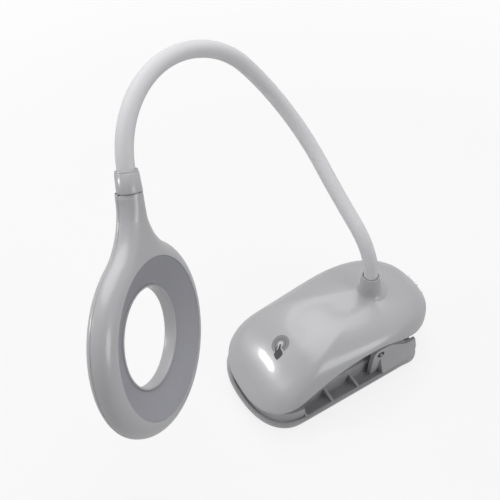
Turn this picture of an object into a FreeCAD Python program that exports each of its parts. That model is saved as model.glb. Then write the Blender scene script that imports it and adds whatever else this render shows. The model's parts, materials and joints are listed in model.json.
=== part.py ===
import FreeCAD, Part
import math
import os
import re
from types import SimpleNamespace
from FreeCAD import Vector, Placement, Rotation

# Clip-on reading lamp: a sprung clip base under a domed shell, a bendable arm and a ring-shaped head.
# Millimetres. Z is up, the nose of the base points to -Y, the underside of the lower jaw lies at Z = 0.

SIZES = dict(
    # plan of the base
    half_width=32.5, nose_y=-61.0, nose_len=22.5, nose_power=2.34,
    tail_y=66.0, tail_len=60.0, tail_power=2.41,
    # dome of the shell: heights, and the powers of its profile to the front, the sides and the rear
    base_z=11.5, crown_z=47.9, shell_wall=2.0, foot_radius=3.0,
    front_bulge=3.1, front_edge=1.0, side_bulge=1.33, side_edge=9.0, rear_bulge=1.83, rear_edge=3.24,
    # lower rim of the shell, arched over the pivot
    rim_nose_z=12.0, rim_peak_z=37.4, rim_peak_y=13.0, rim_rear_z=22.5, rim_fall=45.0, rim_power=1.9,
    # collar that holds the arm
    collar_y=25.4, collar_top_z=62.2, collar_top_radius=5.2, collar_foot_radius=6.0,
    collar_boss_radius=8.0, collar_boss_depth=3.0, collar_skirt=1.0,
    # cover under the shell and its tub
    fit_gap=0.3, cover_wall=2.0, cover_recess=1.0, tub_half_width=18.0, tub_front_y=-50.0,
    tub_rear_y=9.0, tub_bottom_z=13.4, cover_bite=0.5,
    # pivot
    pin_y=18.4, pin_z=21.8, pin_radius=2.0, pin_gap=0.05, lug_inner_x=19.5, lug_wall=3.0, lug_radius=5.0,
    # lower jaw
    jaw_tail_y=50.0, jaw_tail_len=10.0, jaw_tail_power=2.5, lip_z=5.0, lip_height=1.8, lip_wall=1.8,
    hull_inset=8.0, jaw_floor=2.0, rib_wall=1.6, rib_first_y=-35.0, rib_pitch=18.2,
    jaw_wall_x=20.0, jaw_wall=2.0, jaw_wall_z=13.5, nose_wall_z=11.3, deck_top_z=10.4, deck_wall=1.6,
    deck_rear_y=-35.0, cheek_inner_x=24.0, cheek_wall=3.0, cheek_top_z=27.0, cheek_front_y=13.2,
    cheek_rear_y=45.0, cheek_rear_z=13.0, cheek_slope_y=7.5, cheek_crest_y=4.5, cheek_crest_front_y=3.2,
    cheek_corner=3.0, cheek_root_z=1.0, hull_wall=1.0, lip_floor=1.2, nose_foot_inset=2.2,
    nose_top_inset=4.2, nose_foot_wall=2.0, nose_top_wall=1.8, nose_sink=2.0, deck_inset=4.6,
    rib_count=4, rib_foot=0.6, rib_step=0.2, rib_rise=1.6, fill_root=0.6, fill_root_z=1.2, fill_inset=1.0,
    fill_lip=0.4, fill_below_pin=4.0, jaw_trim=0.5, pad_inset=7.2, pin_end=0.2,
    pad_thickness=1.3, pad_front_y=-53.5, pad_rear_y=-38.0, pad_half_width=17.0, pad_gap=0.3,
    # torsion spring
    wire_radius=0.7, coil_radius=4.2, coil_turns=5, coil_pitch=2.0, leg_end_y=38.0,
    upper_leg_gap=0.4, lower_leg_gap=0.2,
    # inside the base
    cell_half_width=13.5, cell_front_y=-38.0, cell_length=42.0, cell_height=8.0,
    board_z=26.0, board_thickness=1.2, board_front_y=-40.0, board_length=46.0, ledge_wall=1.4,
    touch_y=-34.0, touch_radius=2.5,
    socket_width=9.0, socket_height=3.4, socket_depth=8.0, socket_z=30.4, socket_end_y=62.2,
    charge_board_depth=11.0, charge_board_half_width=11.0, charge_board_setback=3.6,
    post_radius=1.6, post_height=6.0, post_inset=3.0, post_setback=5.0, ledge_height=3.0, ledge_overlap=0.2,
    socket_wall=0.6, mouth_depth=5.4, light_x=9.0, light_radius=1.0, light_length=6.0, light_setback=6.4,
    screw_radius=1.2, screw_head_radius=2.0, screw_head=0.8, screw_gap=0.1, sink_reach=6.0, shank_bite=0.2,
    rear_screw_x=20.0, rear_screw_y=40.0, rear_screw_length=9.0,
    front_screw_x=21.0, front_screw_y=-16.0, front_screw_length=4.4, screw_boss_radius=3.2,
    # arm: a soft sleeve over a spine with the leads inside, bent as one chain of arcs
    arm_radius=4.0, sleeve_wall=1.4, spine_gap=0.1, spine_wall=0.9, leads_gap=0.2,
    arc_length=35.57, ball_gap=0.05, socket_gap=0.25, arm_gap=0.2, arm_root=14.0, arm_end=8.0,
    spine_stop=0.3,
    bend_1=51.13, bend_2=3.24, bend_3=23.94, bend_4=26.49, bend_5=37.71, bend_6=41.67, bend_7=46.19,
    turn_1=-174.55, turn_2=26.3, turn_3=-43.41, turn_4=-37.82, turn_5=-83.98, turn_6=-65.24,
    turn_7=-75.15, arm_lean=5.61, face_roll=-4.69,
    flare_reach=5.0, flare_width=2.6, flare_neck=0.9, flare_low=0.6, collar_edge=0.45,
    nut_radius=7.0, nut_height=3.0, nut_gap=0.5, leads_tail=1.0,
    # head
    neck_length=76.3, ring_radius=45.0, lens_radius=37.0, hole_radius=22.7, face_z=5.3, split_z=-2.7,
    back_z=-6.7, back_edge=6.0, head_wall=1.8, hole_lip_z=-0.5, hole_wall=1.1,
    neck_radius=5.8, neck_root_radius=6.2, neck_blend=28.0, head_collar=10.0, head_collar_radius=5.2,
    neck_bore=4.2, neck_sink=0.5, neck_step=0.1, lens_gap=0.15, lens_ease=0.02, lens_wall=1.5,
    lens_inner_drop=0.5, lens_inset=0.3,
    led_board_wall=1.2, led_board_inner=26.0, led_board_outer=36.0, led_count=18, led_circle=31.0,
    led_size=2.4, led_height=0.8, head_screw_circle=39.6, head_screw_angle=52.0, head_screw_radius=1.0,
    head_screw_head=1.9, head_screw_length=7.0, head_boss_radius=2.2, lead_radius=0.9, lead_bend=8.0,
    lead_turn_y=46.0,
)

doc = FreeCAD.newDocument("reading_lamp")
sheet = doc.addObject("Spreadsheet::Sheet", "dims")
for row, (name, value) in enumerate(SIZES.items(), 1):
    sheet.set("A%d" % row, name)
    sheet.set("B%d" % row, str(value))
    sheet.setAlias("B%d" % row, name)
doc.recompute()
d = SimpleNamespace(**{name: float(sheet.get(name)) for name in SIZES})
WORD = re.compile(r"[A-Za-z_]\w*")
FUNCTIONS = ("sin", "cos", "tan", "sqrt")
X, Y, Z = Vector(1, 0, 0), Vector(0, 1, 0), Vector(0, 0, 1)
TURN = {"x": Rotation(Z, X), "y": Rotation(Z, Y), "z": Rotation()}
NODES = []
# how far the tool of a cut runs past the face that it cuts
OVER = 1.0


def bind(obj, **sizes):
    """Ties properties of an object to cells of the sheet."""
    for prop, size in sizes.items():
        text = WORD.sub(lambda m: m.group() if m.group() in FUNCTIONS else "dims." + m.group(), size)
        obj.setExpression(prop, text)
    return obj


def num(value):
    return "%.6f" % value


def at(obj, x="0", y="0", z="0"):
    for axis, size in zip("xyz", (x, y, z)):
        bind(obj, **{"Placement.Base." + axis: size})
    return obj


def box(name, lx, ly, lz, x, y, z):
    return at(bind(doc.addObject("Part::Box", name), Length=lx, Width=ly, Height=lz), x, y, z)


def cylinder(name, radius, height, x="0", y="0", z="0", axis="z"):
    obj = bind(doc.addObject("Part::Cylinder", name), Radius=radius, Height=height)
    obj.Placement = Placement(Vector(), TURN[axis])
    return at(obj, x, y, z)


def cone(name, low, high, height, x="0", y="0", z="0", axis="z"):
    obj = bind(doc.addObject("Part::Cone", name), Radius1=low, Radius2=high, Height=height)
    obj.Placement = Placement(Vector(), TURN[axis])
    return at(obj, x, y, z)


def shape(name, value):
    obj = doc.addObject("Part::Feature", name)
    obj.Shape = value
    return obj


def cut(name, base, *tools):
    for i, tool in enumerate(tools):
        obj = doc.addObject("Part::Cut", name + ("_%d" % i if i < len(tools) - 1 else ""))
        obj.Base, obj.Tool = base, tool
        base = obj
    return base


def fuse(name, *parts):
    obj = doc.addObject("Part::MultiFuse", name)
    obj.Shapes = list(parts)
    return obj


def common(name, a, b):
    obj = doc.addObject("Part::Common", name)
    obj.Base, obj.Tool = a, b
    return obj


def prism(name, points, start, depth):
    """Solid between a closed outline and the same outline moved by depth."""
    face = Part.Face(Part.makePolygon([p + start for p in points] + [points[0] + start]))
    return shape(name, face.extrude(depth))


def mirrored(name, source):
    obj = doc.addObject("Part::Mirroring", name)
    obj.Source = source
    obj.Normal = X
    return obj


def revolved(name, points, axis=Z):
    face = Part.Face(Part.makePolygon(points + [points[0]]))
    return shape(name, face.revolve(Vector(), axis, 360))


def node(obj, label, placement=None):
    obj.Label = label
    if placement:
        obj.Placement = placement
    NODES.append(obj)
    return obj


# plan outlines: a rounded nose, straight sides and a rounded tail
def inside(x, y, half, front, front_len, front_power, rear, rear_len, rear_power):
    y0, y1 = front + front_len, rear - rear_len
    if y < y0:
        return abs(x / half) ** front_power + ((y0 - y) / front_len) ** front_power < 1
    if y > y1:
        return abs(x / half) ** rear_power + ((y - y1) / rear_len) ** rear_power < 1
    return abs(x) < half


def reach(angle, centre_y, plan):
    """Distance from a point on the centre line to the outline; angle 0 looks to the nose."""
    low, high = 0.0, 300.0
    for _ in range(50):
        mid = (low + high) / 2
        if inside(mid * math.sin(angle), centre_y - mid * math.cos(angle), *plan):
            low = mid
        else:
            high = mid
    return low


def shell_plan(inset):
    return (d.half_width - inset, d.nose_y + inset, d.nose_len, d.nose_power,
            d.tail_y - inset, d.tail_len, d.tail_power)


def jaw_plan(inset):
    return (d.half_width - inset, d.nose_y + inset, d.nose_len, d.nose_power,
            d.jaw_tail_y - inset, d.jaw_tail_len, d.jaw_tail_power)


def closed_curve(points):
    curve = Part.BSplineCurve()
    curve.interpolate(points, PeriodicFlag=True)
    return Part.Wire(curve.toShape())


RAYS = 48
JAW_RAYS = 72
ANGLES = [2 * math.pi * i / RAYS for i in range(RAYS)]
RINGS = (0, 0.07, 0.15, 0.24, 0.34, 0.45, 0.56, 0.68, 0.8, 0.91, 1)


def dome_profile(angle, inset, drop):
    """Points from the outline up to the arm's foot along one direction, evenly spaced."""
    front, rear = max(math.cos(angle), 0) ** 2, max(-math.cos(angle), 0) ** 2
    bulge = d.side_bulge + (d.front_bulge - d.side_bulge) * front + (d.rear_bulge - d.side_bulge) * rear
    edge = d.side_edge + (d.front_edge - d.side_edge) * front + (d.rear_edge - d.side_edge) * rear
    far = reach(angle, d.collar_y, shell_plan(inset))
    low, high = d.base_z - drop, d.crown_z - inset
    fine, length = [], [0.0]
    for i in range(401):
        t = math.pi / 2 * (i / 400) ** 3
        rho = math.cos(t) ** (2 / bulge)
        fine.append((max(rho * far, d.foot_radius), low + (high - low) * math.sin(t) ** (2 / edge)))
        if i:
            length.append(length[-1] + math.dist(fine[-1], fine[-2]))
    out, k = [], 0
    for share in RINGS:
        want = share * length[-1]
        while k < len(length) - 2 and length[k + 1] < want:
            k += 1
        step = length[k + 1] - length[k]
        f = (want - length[k]) / step if step else 0
        out.append(tuple(a + (b - a) * f for a, b in zip(fine[k], fine[k + 1])))
    return out


def dome(name, inset, drop):
    rays = [dome_profile(a, inset, drop) for a in ANGLES]
    wires = []
    for j in range(len(RINGS)):
        points = [Vector(r[j][0] * math.sin(a), d.collar_y - r[j][0] * math.cos(a), r[j][1])
                  for a, r in zip(ANGLES, rays)]
        wires.append(closed_curve(points))
    return shape(name, Part.makeLoft(wires, True, False))


def rim_height(y):
    if y < d.rim_peak_y:
        u = (d.rim_peak_y - y) / (d.rim_peak_y - d.nose_y)
        return d.rim_peak_z - (d.rim_peak_z - d.rim_nose_z) * u ** d.rim_power
    u = min((y - d.rim_peak_y) / d.rim_fall, 1)
    return d.rim_rear_z + (d.rim_peak_z - d.rim_rear_z) * (1 + math.cos(math.pi * u)) / 2


def rim_curve(rise):
    """The rim's arch in the centre plane, with flat runs past both ends."""
    step = (d.tail_y - d.nose_y) / 30
    ys = [d.nose_y - 6 + step * i for i in range(34)]
    return [Vector(0, y, rim_height(max(y, d.nose_y)) + rise) for y in ys]


def rim_slab(name, low, high):
    """Solid right across the base between two heights measured from the rim."""
    bottom = rim_curve(low) if low is not None else [Vector(0, p.y, d.base_z - 8) for p in rim_curve(0)]
    edges = []
    for points in (bottom, rim_curve(high)):
        if low is None and points is bottom:
            edges.append(Part.LineSegment(points[0], points[-1]).toShape())
        else:
            curve = Part.BSplineCurve()
            curve.interpolate(points)
            edges.append(curve.toShape())
    ends = [(e.valueAt(e.FirstParameter), e.valueAt(e.LastParameter)) for e in edges]
    sides = [Part.LineSegment(ends[0][i], ends[1][i]).toShape() for i in (0, 1)]
    face = Part.Face(Part.Wire(Part.__sortEdges__(edges + sides)))
    wide = d.half_width + 20
    face.translate(Vector(-wide, 0, 0))
    return shape(name, face.extrude(Vector(2 * wide, 0, 0)))


# shell
outer = dome("shell_outer", 0, 0)
inner = dome("shell_inner", d.shell_wall, 1)
clear = dome("shell_clear", d.shell_wall + d.fit_gap, 2)
below_rim = rim_slab("below_rim", None, 0)
# the collar leans forward with the foot of the arm; its own origin is the centre of its upper rim
COLLAR = Placement(Vector(0, d.collar_y, d.collar_top_z), Rotation(X, d.arm_lean))


def on_collar(obj, z):
    """Sets an object on the collar's axis, z above its upper rim."""
    obj.Placement = COLLAR * Placement(Vector(0, 0, z), Rotation())
    return obj


dome_drop = d.collar_top_z - d.crown_z
nut_top = -dome_drop - d.shell_wall - d.collar_boss_depth
bosses = []
for side, sign in (("right", ""), ("left", "-")):
    for place in ("rear", "front"):
        bosses.append(cylinder("boss_%s_%s" % (place, side), "screw_boss_radius", "crown_z",
                               sign + place + "_screw_x", place + "_screw_y"))
within = dome("shell_middle", d.shell_wall / 2, 0.5)
boss_space = cut("boss_space", common("boss_in_dome", fuse("boss_all", *bosses), within),
                 rim_slab("under_bosses", None, d.cover_recess + d.cover_wall + 0.01))
foot, top, bore = d.collar_foot_radius, d.collar_top_radius, d.arm_radius + d.arm_gap
skirt = -dome_drop - d.shell_wall - d.collar_skirt
collar = revolved("collar", [
    Vector(bore, 0, nut_top), Vector(d.collar_boss_radius, 0, nut_top),
    Vector(d.collar_boss_radius, 0, skirt),
    Vector(foot + d.flare_reach, 0, skirt), Vector(foot + d.flare_width, 0, -dome_drop - d.flare_low),
    Vector(foot + d.flare_neck, 0, -dome_drop + d.flare_low), Vector(foot, 0, -dome_drop + d.flare_width),
    Vector(top, 0, -d.collar_edge), Vector(top - d.collar_edge, 0, 0), Vector(bore, 0, 0)])
on_collar(collar, 0)
collar_hole = on_collar(bind(doc.addObject("Part::Cylinder", "collar_hole"), Radius="collar_foot_radius",
                             Height="collar_top_z"), nut_top - 10)
port = box("port", "socket_width + 2 * fit_gap", "20", "socket_height + 2 * fit_gap",
           "-socket_width / 2 - fit_gap", "socket_end_y - 10", "socket_z - fit_gap")
light_hole = cylinder("light_hole", "light_radius + fit_gap", "20", "light_x", "socket_end_y - 10",
                      "socket_z + socket_height / 2", "y")
holes = []
for side, sign in (("right", ""), ("left", "-")):
    for place in ("rear", "front"):
        holes.append(cylinder("thread_%s_%s" % (place, side), "screw_radius + screw_gap",
                              place + "_screw_length + screw_gap", sign + place + "_screw_x",
                              place + "_screw_y", num(rim_height(getattr(d, place + "_screw_y")))
                              + " + cover_recess + screw_head"))
thread = fuse("threads", *holes)
shell_walls = cut("shell_walls", outer, inner, below_rim, collar_hole, port, light_hole)
shell_bosses = cut("shell_bosses", boss_space, thread)
node(fuse("top_shell", shell_walls, shell_bosses, collar), "top_shell")

# cover under the shell, with the tub for the cell and the two hinge lugs
strip = rim_slab("cover_strip", d.cover_recess, d.cover_recess + d.cover_wall)
tub_space = box("tub_space", "2 * (tub_half_width - cover_wall)",
                "tub_rear_y - tub_front_y - 2 * cover_wall", "crown_z",
                "-tub_half_width + cover_wall", "tub_front_y + cover_wall", "tub_bottom_z + cover_wall")
tub_block = box("tub_block", "2 * tub_half_width", "tub_rear_y - tub_front_y", "crown_z",
                "-tub_half_width", "tub_front_y", "tub_bottom_z")
tub_low = common("tub_low", tub_block, rim_slab("under_cover", None, d.cover_recess + d.cover_wall / 2))
cover_blank = cut("cover_blank", fuse("cover_and_tub", strip, tub_low), tub_space)
cover_plain = common("cover_plain", cover_blank, clear)
ledges = [box("ledge_" + side, "ledge_wall + ledge_overlap", "board_length", "ledge_height", x,
              "board_front_y", "board_z - ledge_height")
          for side, x in (("right", "tub_half_width - cover_wall - ledge_wall"),
                          ("left", "-tub_half_width + cover_wall - ledge_overlap"))]
lugs = []
lug_top = num(rim_height(d.pin_y + d.lug_radius) + d.cover_recess + d.cover_bite)
for side, x in (("right", "lug_inner_x"), ("left", "-lug_inner_x - lug_wall")):
    lugs.append(cylinder("lug_eye_" + side, "lug_radius", "lug_wall", x, "pin_y", "pin_z", "x"))
    lugs.append(box("lug_" + side, "lug_wall", "2 * lug_radius", lug_top + " - pin_z",
                    x, "pin_y - lug_radius", "pin_z"))
post_x = (("right", "charge_board_half_width - post_inset"),
          ("left", "post_inset - charge_board_half_width"))
post_y = ("socket_end_y - charge_board_depth", "socket_end_y - post_setback")
posts = [cylinder("post_%s_%d" % (side, i), "post_radius", "post_height", x, y,
                  "socket_z - board_thickness - post_height")
         for side, x in post_x for i, y in enumerate(post_y)]
pin_way = cylinder("lug_bore", "pin_radius + 2 * pin_gap", "80", "-40", "pin_y", "pin_z", "x")
ways = []
for side, sign in (("right", ""), ("left", "-")):
    for place in ("rear", "front"):
        low = num(rim_height(getattr(d, place + "_screw_y")))
        ways.append(cylinder("way_%s_%s" % (place, side), "screw_radius + screw_gap", "10",
                             sign + place + "_screw_x", place + "_screw_y", low))
        ways.append(cylinder("sink_%s_%s" % (place, side), "screw_head_radius + screw_gap",
                             "sink_reach + screw_head", sign + place + "_screw_x", place + "_screw_y",
                             low + " + cover_recess - sink_reach"))
under_posts = rim_slab("under_posts", None, d.cover_recess + d.cover_bite)
posts_in = cut("posts_in", fuse("posts", *posts), under_posts)
node(cut("base_cover", fuse("cover_solid", cover_plain, posts_in, *ledges, *lugs), pin_way, *ways),
     "base_cover")

# screws that hold the cover
screws = []
for side, sign in (("right", ""), ("left", "-")):
    for place in ("rear", "front"):
        low = num(rim_height(getattr(d, place + "_screw_y")))
        shank = cylinder("shank_%s_%s" % (place, side), "screw_radius",
                         place + "_screw_length + shank_bite", sign + place + "_screw_x", place + "_screw_y",
                         low + " + cover_recess + screw_head - shank_bite")
        cap = cylinder("head_%s_%s" % (place, side), "screw_head_radius", "screw_head",
                       sign + place + "_screw_x", place + "_screw_y", low + " + cover_recess")
        screws.append(fuse("screw_%s_%s" % (place, side), shank, cap))
cover_screws = doc.addObject("Part::Compound", "cover_screws")
cover_screws.Links = screws
node(cover_screws, "cover_screws")

# cell, board and what sits on it
node(box("battery_cell", "2 * cell_half_width", "cell_length", "cell_height", "-cell_half_width",
         "cell_front_y", "tub_bottom_z + cover_wall"), "battery_cell")
node(box("control_board", "2 * (tub_half_width - cover_wall - fit_gap)", "board_length", "board_thickness",
         "-tub_half_width + cover_wall + fit_gap", "board_front_y", "board_z"), "control_board")
board_top = "board_z + board_thickness"
chips = [box("chip", "8", "8", "1.6", "-4", "-12", board_top),
         box("choke", "5", "5", "3.2", "5", "-14", board_top),
         box("capacitor", "4", "3", "2", "-10", "-20", board_top)]
parts_set = doc.addObject("Part::Compound", "driver_parts")
parts_set.Links = chips
node(parts_set, "driver_parts")
touch_post = cylinder("touch_post", "touch_radius", "crown_z", y="touch_y", z=board_top)
node(common("touch_electrode", touch_post, clear), "touch_electrode")
node(box("charge_board", "2 * charge_board_half_width", "charge_board_depth", "board_thickness",
         "-charge_board_half_width", "socket_end_y - charge_board_depth - charge_board_setback",
         "socket_z - board_thickness"), "charge_board")
socket_body = box("socket_body", "socket_width", "socket_depth", "socket_height", "-socket_width / 2",
                  "socket_end_y - socket_depth", "socket_z")
socket_mouth = box("socket_mouth", "socket_width - 2 * socket_wall", "socket_depth",
                   "socket_height - 2 * socket_wall", "-socket_width / 2 + socket_wall",
                   "socket_end_y - mouth_depth", "socket_z + socket_wall")
node(cut("charge_socket", socket_body, socket_mouth), "charge_socket")
light_pipe = cylinder("light_pipe", "light_radius", "light_length", "light_x",
                      "socket_end_y - light_setback", "socket_z + socket_height / 2", "y")
light_foot = box("light_foot", "2 * light_radius", "light_length / 2", "socket_height / 2",
                 "light_x - light_radius", "socket_end_y - light_setback", "socket_z")
node(fuse("charge_light", light_pipe, light_foot), "charge_light")


# lower jaw
def jaw_wire(inset, z):
    plan = jaw_plan(inset)
    centre = (d.nose_y + d.jaw_tail_y) / 2
    points = []
    for i in range(JAW_RAYS):
        a = 2 * math.pi * i / JAW_RAYS
        far = reach(a, centre, plan)
        points.append(Vector(far * math.sin(a), centre - far * math.cos(a), z))
    return closed_curve(points)


def jaw_loft(name, *rings):
    return shape(name, Part.makeLoft([jaw_wire(inset, z) for inset, z in rings], True, True))


lip_top = d.lip_z + d.lip_height
hull_out = jaw_loft("hull_out", (d.hull_inset, 0), (0, d.lip_z), (0, lip_top))
hull_in = jaw_loft("hull_in", (d.hull_inset + d.hull_wall, d.jaw_floor),
                   (d.lip_wall, d.lip_z + d.lip_floor), (d.lip_wall, lip_top + OVER))
hull = cut("hull", hull_out, hull_in)
nose_foot_z = d.lip_z - d.nose_sink
nose_out = jaw_loft("nose_out", (d.nose_foot_inset, nose_foot_z), (d.nose_top_inset, d.nose_wall_z))
nose_in = jaw_loft("nose_in", (d.nose_foot_inset + d.nose_foot_wall, nose_foot_z - 0.1 * OVER),
                   (d.nose_top_inset + d.nose_top_wall, d.nose_wall_z + 0.1 * OVER))
front_half = box("front_half", "200", "100", "60", "-100", "deck_rear_y - 100", "0")
nose_wall = common("nose_wall", cut("nose_ring", nose_out, nose_in), front_half)
deck_plate = jaw_loft("deck_plate", (d.deck_inset, d.deck_top_z - d.deck_wall),
                      (d.deck_inset, d.deck_top_z))
deck = common("deck", deck_plate, front_half)
jaw_bits = [hull, nose_wall, deck]
jaw_bits.append(box("deck_support", "2 * jaw_wall_x + 2 * jaw_wall", "jaw_wall", "deck_top_z - 1",
                    "-jaw_wall_x - jaw_wall", "deck_rear_y - jaw_wall / 2", "1"))
for side, x in (("right", "jaw_wall_x"), ("left", "-jaw_wall_x - jaw_wall")):
    jaw_bits.append(box("inner_wall_" + side, "jaw_wall", "cheek_front_y + 4 - deck_rear_y",
                        "jaw_wall_z - 1", x, "deck_rear_y", "1"))
wall_x = d.jaw_wall_x + d.jaw_wall / 2
lip_x = d.half_width - d.lip_wall / 2
rib_line = [Vector(wall_x, 0, d.jaw_floor / 2), Vector(d.half_width - d.hull_inset, 0, d.jaw_floor / 2),
            Vector(lip_x, 0, d.lip_z + d.rib_foot), Vector(lip_x, 0, lip_top - d.rib_step),
            Vector(wall_x, 0, lip_top + d.rib_rise)]
for i in range(int(d.rib_count)):
    rib_at = Vector(0, d.rib_first_y + i * d.rib_pitch - d.rib_wall / 2, 0)
    rib = prism("rib_right_%d" % i, rib_line, rib_at, Vector(0, d.rib_wall, 0))
    jaw_bits += [rib, mirrored("rib_left_%d" % i, rib)]
cheek_out = d.cheek_inner_x + d.cheek_wall
cheek_side = [Vector(0, d.cheek_front_y, d.cheek_root_z), Vector(0, d.cheek_rear_y, d.cheek_root_z),
              Vector(0, d.cheek_rear_y, d.cheek_rear_z),
              Vector(0, d.pin_y + d.cheek_slope_y, d.cheek_top_z - d.cheek_root_z),
              Vector(0, d.pin_y + d.cheek_crest_y, d.cheek_top_z),
              Vector(0, d.pin_y - d.cheek_crest_front_y, d.cheek_top_z),
              Vector(0, d.cheek_front_y, d.cheek_top_z - d.cheek_corner)]
cheek = prism("cheek_right", cheek_side, Vector(d.cheek_inner_x, 0, 0), Vector(d.cheek_wall, 0, 0))
fill_x, fill_top = d.half_width - d.hull_inset + d.fill_root, d.pin_z - d.fill_below_pin
fill_line = [Vector(fill_x, 0, d.fill_root_z), Vector(d.half_width - d.fill_inset, 0, d.lip_z + d.fill_lip),
             Vector(d.half_width - d.fill_inset, 0, lip_top), Vector(cheek_out, 0, fill_top),
             Vector(fill_x, 0, fill_top)]
fill_y = d.rib_first_y + (d.rib_count - 1) * d.rib_pitch - d.rib_wall / 2
fill = prism("cheek_fill_right", fill_line, Vector(0, fill_y, 0), Vector(0, d.cheek_rear_y - fill_y, 0))
jaw_block = jaw_loft("jaw_block", (d.jaw_trim, d.jaw_trim), (d.jaw_trim, d.cheek_top_z + 5 * OVER))
for name, bit in (("cheek", cheek), ("cheek_fill", fill)):
    jaw_bits.append(common(name + "_right_in", bit, jaw_block))
    jaw_bits.append(mirrored(name + "_left_in", jaw_bits[-1]))
rear_block = box("rear_block", "2 * cheek_inner_x + 2", "jaw_wall", "cheek_rear_z - 1",
                 "-cheek_inner_x - 1", "cheek_rear_y - jaw_wall", "1")
jaw_bits.append(common("rear_wall", rear_block, jaw_block))
pin_hole = cylinder("pin_hole", "pin_radius + pin_gap", "100", "-50", "pin_y", "pin_z", "x")
node(cut("lower_jaw", fuse("jaw_solid", *jaw_bits), pin_hole), "lower_jaw")

pad_area = box("pad_area", "2 * pad_half_width", "pad_rear_y - pad_front_y", "pad_thickness",
               "-pad_half_width", "pad_front_y", "deck_top_z")
pad_outline = jaw_loft("pad_outline", (d.pad_inset, d.deck_top_z - OVER),
                       (d.pad_inset, d.deck_top_z + 5 * OVER))
node(common("lower_pad", pad_area, pad_outline), "lower_pad")
upper_pad_block = box("upper_pad_block", "2 * pad_half_width", "pad_rear_y - tub_front_y - 1",
                      "tub_bottom_z - deck_top_z - pad_thickness - pad_gap", "-pad_half_width",
                      "tub_front_y + 1", "deck_top_z + pad_thickness + pad_gap")
node(common("upper_pad", upper_pad_block, clear), "upper_pad")
node(cylinder("pivot_pin", "pin_radius", "2 * (cheek_inner_x + cheek_wall + pin_end)",
              "-cheek_inner_x - cheek_wall - pin_end", "pin_y", "pin_z", "x"), "pivot_pin")


# torsion spring: one wire, wound round the pin, with a leg on the cover and a leg on the jaw's floor
def biarc(p0, t0, p1, t1):
    """Two arcs that leave p0 along t0, reach p1 along t1 and meet with one direction."""
    v = p1 - p0
    t = t0 + t1
    a = 2 * (1 - t0.dot(t1))
    b = 2 * v.dot(t)
    c = v.dot(v)
    if abs(a) < 1e-9:
        k = c / b
    else:
        k = (-b + math.sqrt(b * b + 4 * a * c)) / (2 * a)
    joint = (p0 + t0 * k + p1 - t1 * k) * 0.5
    edges = []
    for p, q, u in ((p0, joint, t0), (joint, p1, None)):
        if u is None:
            u = (p1 - t1 * k - joint).normalize()
        chord = q - p
        side = u.cross(chord).cross(u)
        side.normalize()
        radius = chord.dot(chord) / (2 * chord.dot(side))
        centre = p + side * radius
        middle = (p + q) * 0.5 - centre
        middle.normalize()
        edges.append(Part.Arc(p, centre + middle * radius, q).toShape())
    return edges


def leg_turn(y, z, sense):
    """Angle round the pin where a straight leg to (y, z) touches the coil."""
    dist = math.hypot(y, z)
    return math.atan2(z, y) + sense * math.acos(d.coil_radius / dist)


upper_end = (d.leg_end_y - d.pin_y,
             rim_height(d.leg_end_y) + d.cover_recess - d.wire_radius - d.fit_gap
             - d.upper_leg_gap - d.pin_z)
lower_end = (d.leg_end_y - d.pin_y, d.jaw_floor + d.wire_radius + d.fit_gap + d.lower_leg_gap - d.pin_z)
start = leg_turn(*upper_end, 1)
stop = leg_turn(*lower_end, -1)
total = (stop - start) % (2 * math.pi) + 2 * math.pi * d.coil_turns
climb = d.coil_pitch / (2 * math.pi)


def coil_point(a):
    return Vector(climb * a - climb * total / 2, d.pin_y + d.coil_radius * math.cos(start + a),
                  d.pin_z + d.coil_radius * math.sin(start + a))


def coil_way(a):
    return Vector(climb, -d.coil_radius * math.sin(start + a),
                  d.coil_radius * math.cos(start + a)).normalize()


quarters = int(math.ceil(total / (math.pi / 2)))
wire_edges = []
for i in range(quarters):
    a, b = total * i / quarters, total * (i + 1) / quarters
    wire_edges += biarc(coil_point(a), coil_way(a), coil_point(b), coil_way(b))
upper_leg = math.sqrt(upper_end[0] ** 2 + upper_end[1] ** 2 - d.coil_radius ** 2)
first = coil_point(0) - coil_way(0) * upper_leg
lower_leg = math.sqrt(lower_end[0] ** 2 + lower_end[1] ** 2 - d.coil_radius ** 2)
last = coil_point(total) + coil_way(total) * lower_leg
wire_edges.insert(0, Part.LineSegment(first, coil_point(0)).toShape())
wire_edges.append(Part.LineSegment(coil_point(total), last).toShape())
path = Part.Wire(wire_edges)
way = (coil_point(0) - first).normalize()
section = Part.Wire(Part.makeCircle(d.wire_radius, first, way))
pipe = Part.BRepOffsetAPI.MakePipeShell(path)
pipe.add(section)
pipe.build()
pipe.makeSolid()
node(shape("torsion_spring", pipe.shape()), "torsion_spring")
turns = [coil_point(total * i / 900) for i in range(901)]
lag = int(900 * 2 * math.pi / total * 0.7)
near = min(turns[i].distanceToPoint(turns[j]) for i in range(901) for j in range(i + lag, 901))
print("torsion spring: least gap between turns %.2f mm" % (near - 2 * d.wire_radius))

# arm: each arc starts where the last one ends and leaves along its direction
BENDS = [getattr(d, "bend_%d" % (i + 1)) for i in range(7)]
TURNS = [getattr(d, "turn_%d" % (i + 1)) for i in range(7)]
tip = Vector(0, d.collar_y, d.collar_top_z)
heading, across = COLLAR.Rotation.multVec(Z), X
sections = []
for bend, turn in zip(BENDS, TURNS):
    side = Rotation(heading, turn).multVec(across)
    radius = d.arc_length / math.radians(bend)
    hinge = heading.cross(side)
    centre = tip + side * radius
    swing = Rotation(hinge, bend)
    end = centre + swing.multVec(tip - centre)
    frame = Placement(centre, Rotation(side * -1, heading, hinge, "XYZ"))
    sections.append(SimpleNamespace(start=tip, way=heading, side=side, frame=frame, bend=bend, end=end,
                                    out=swing.multVec(heading), hinge=hinge, radius=radius))
    tip, heading, across = end, swing.multVec(heading), swing.multVec(across)


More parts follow.
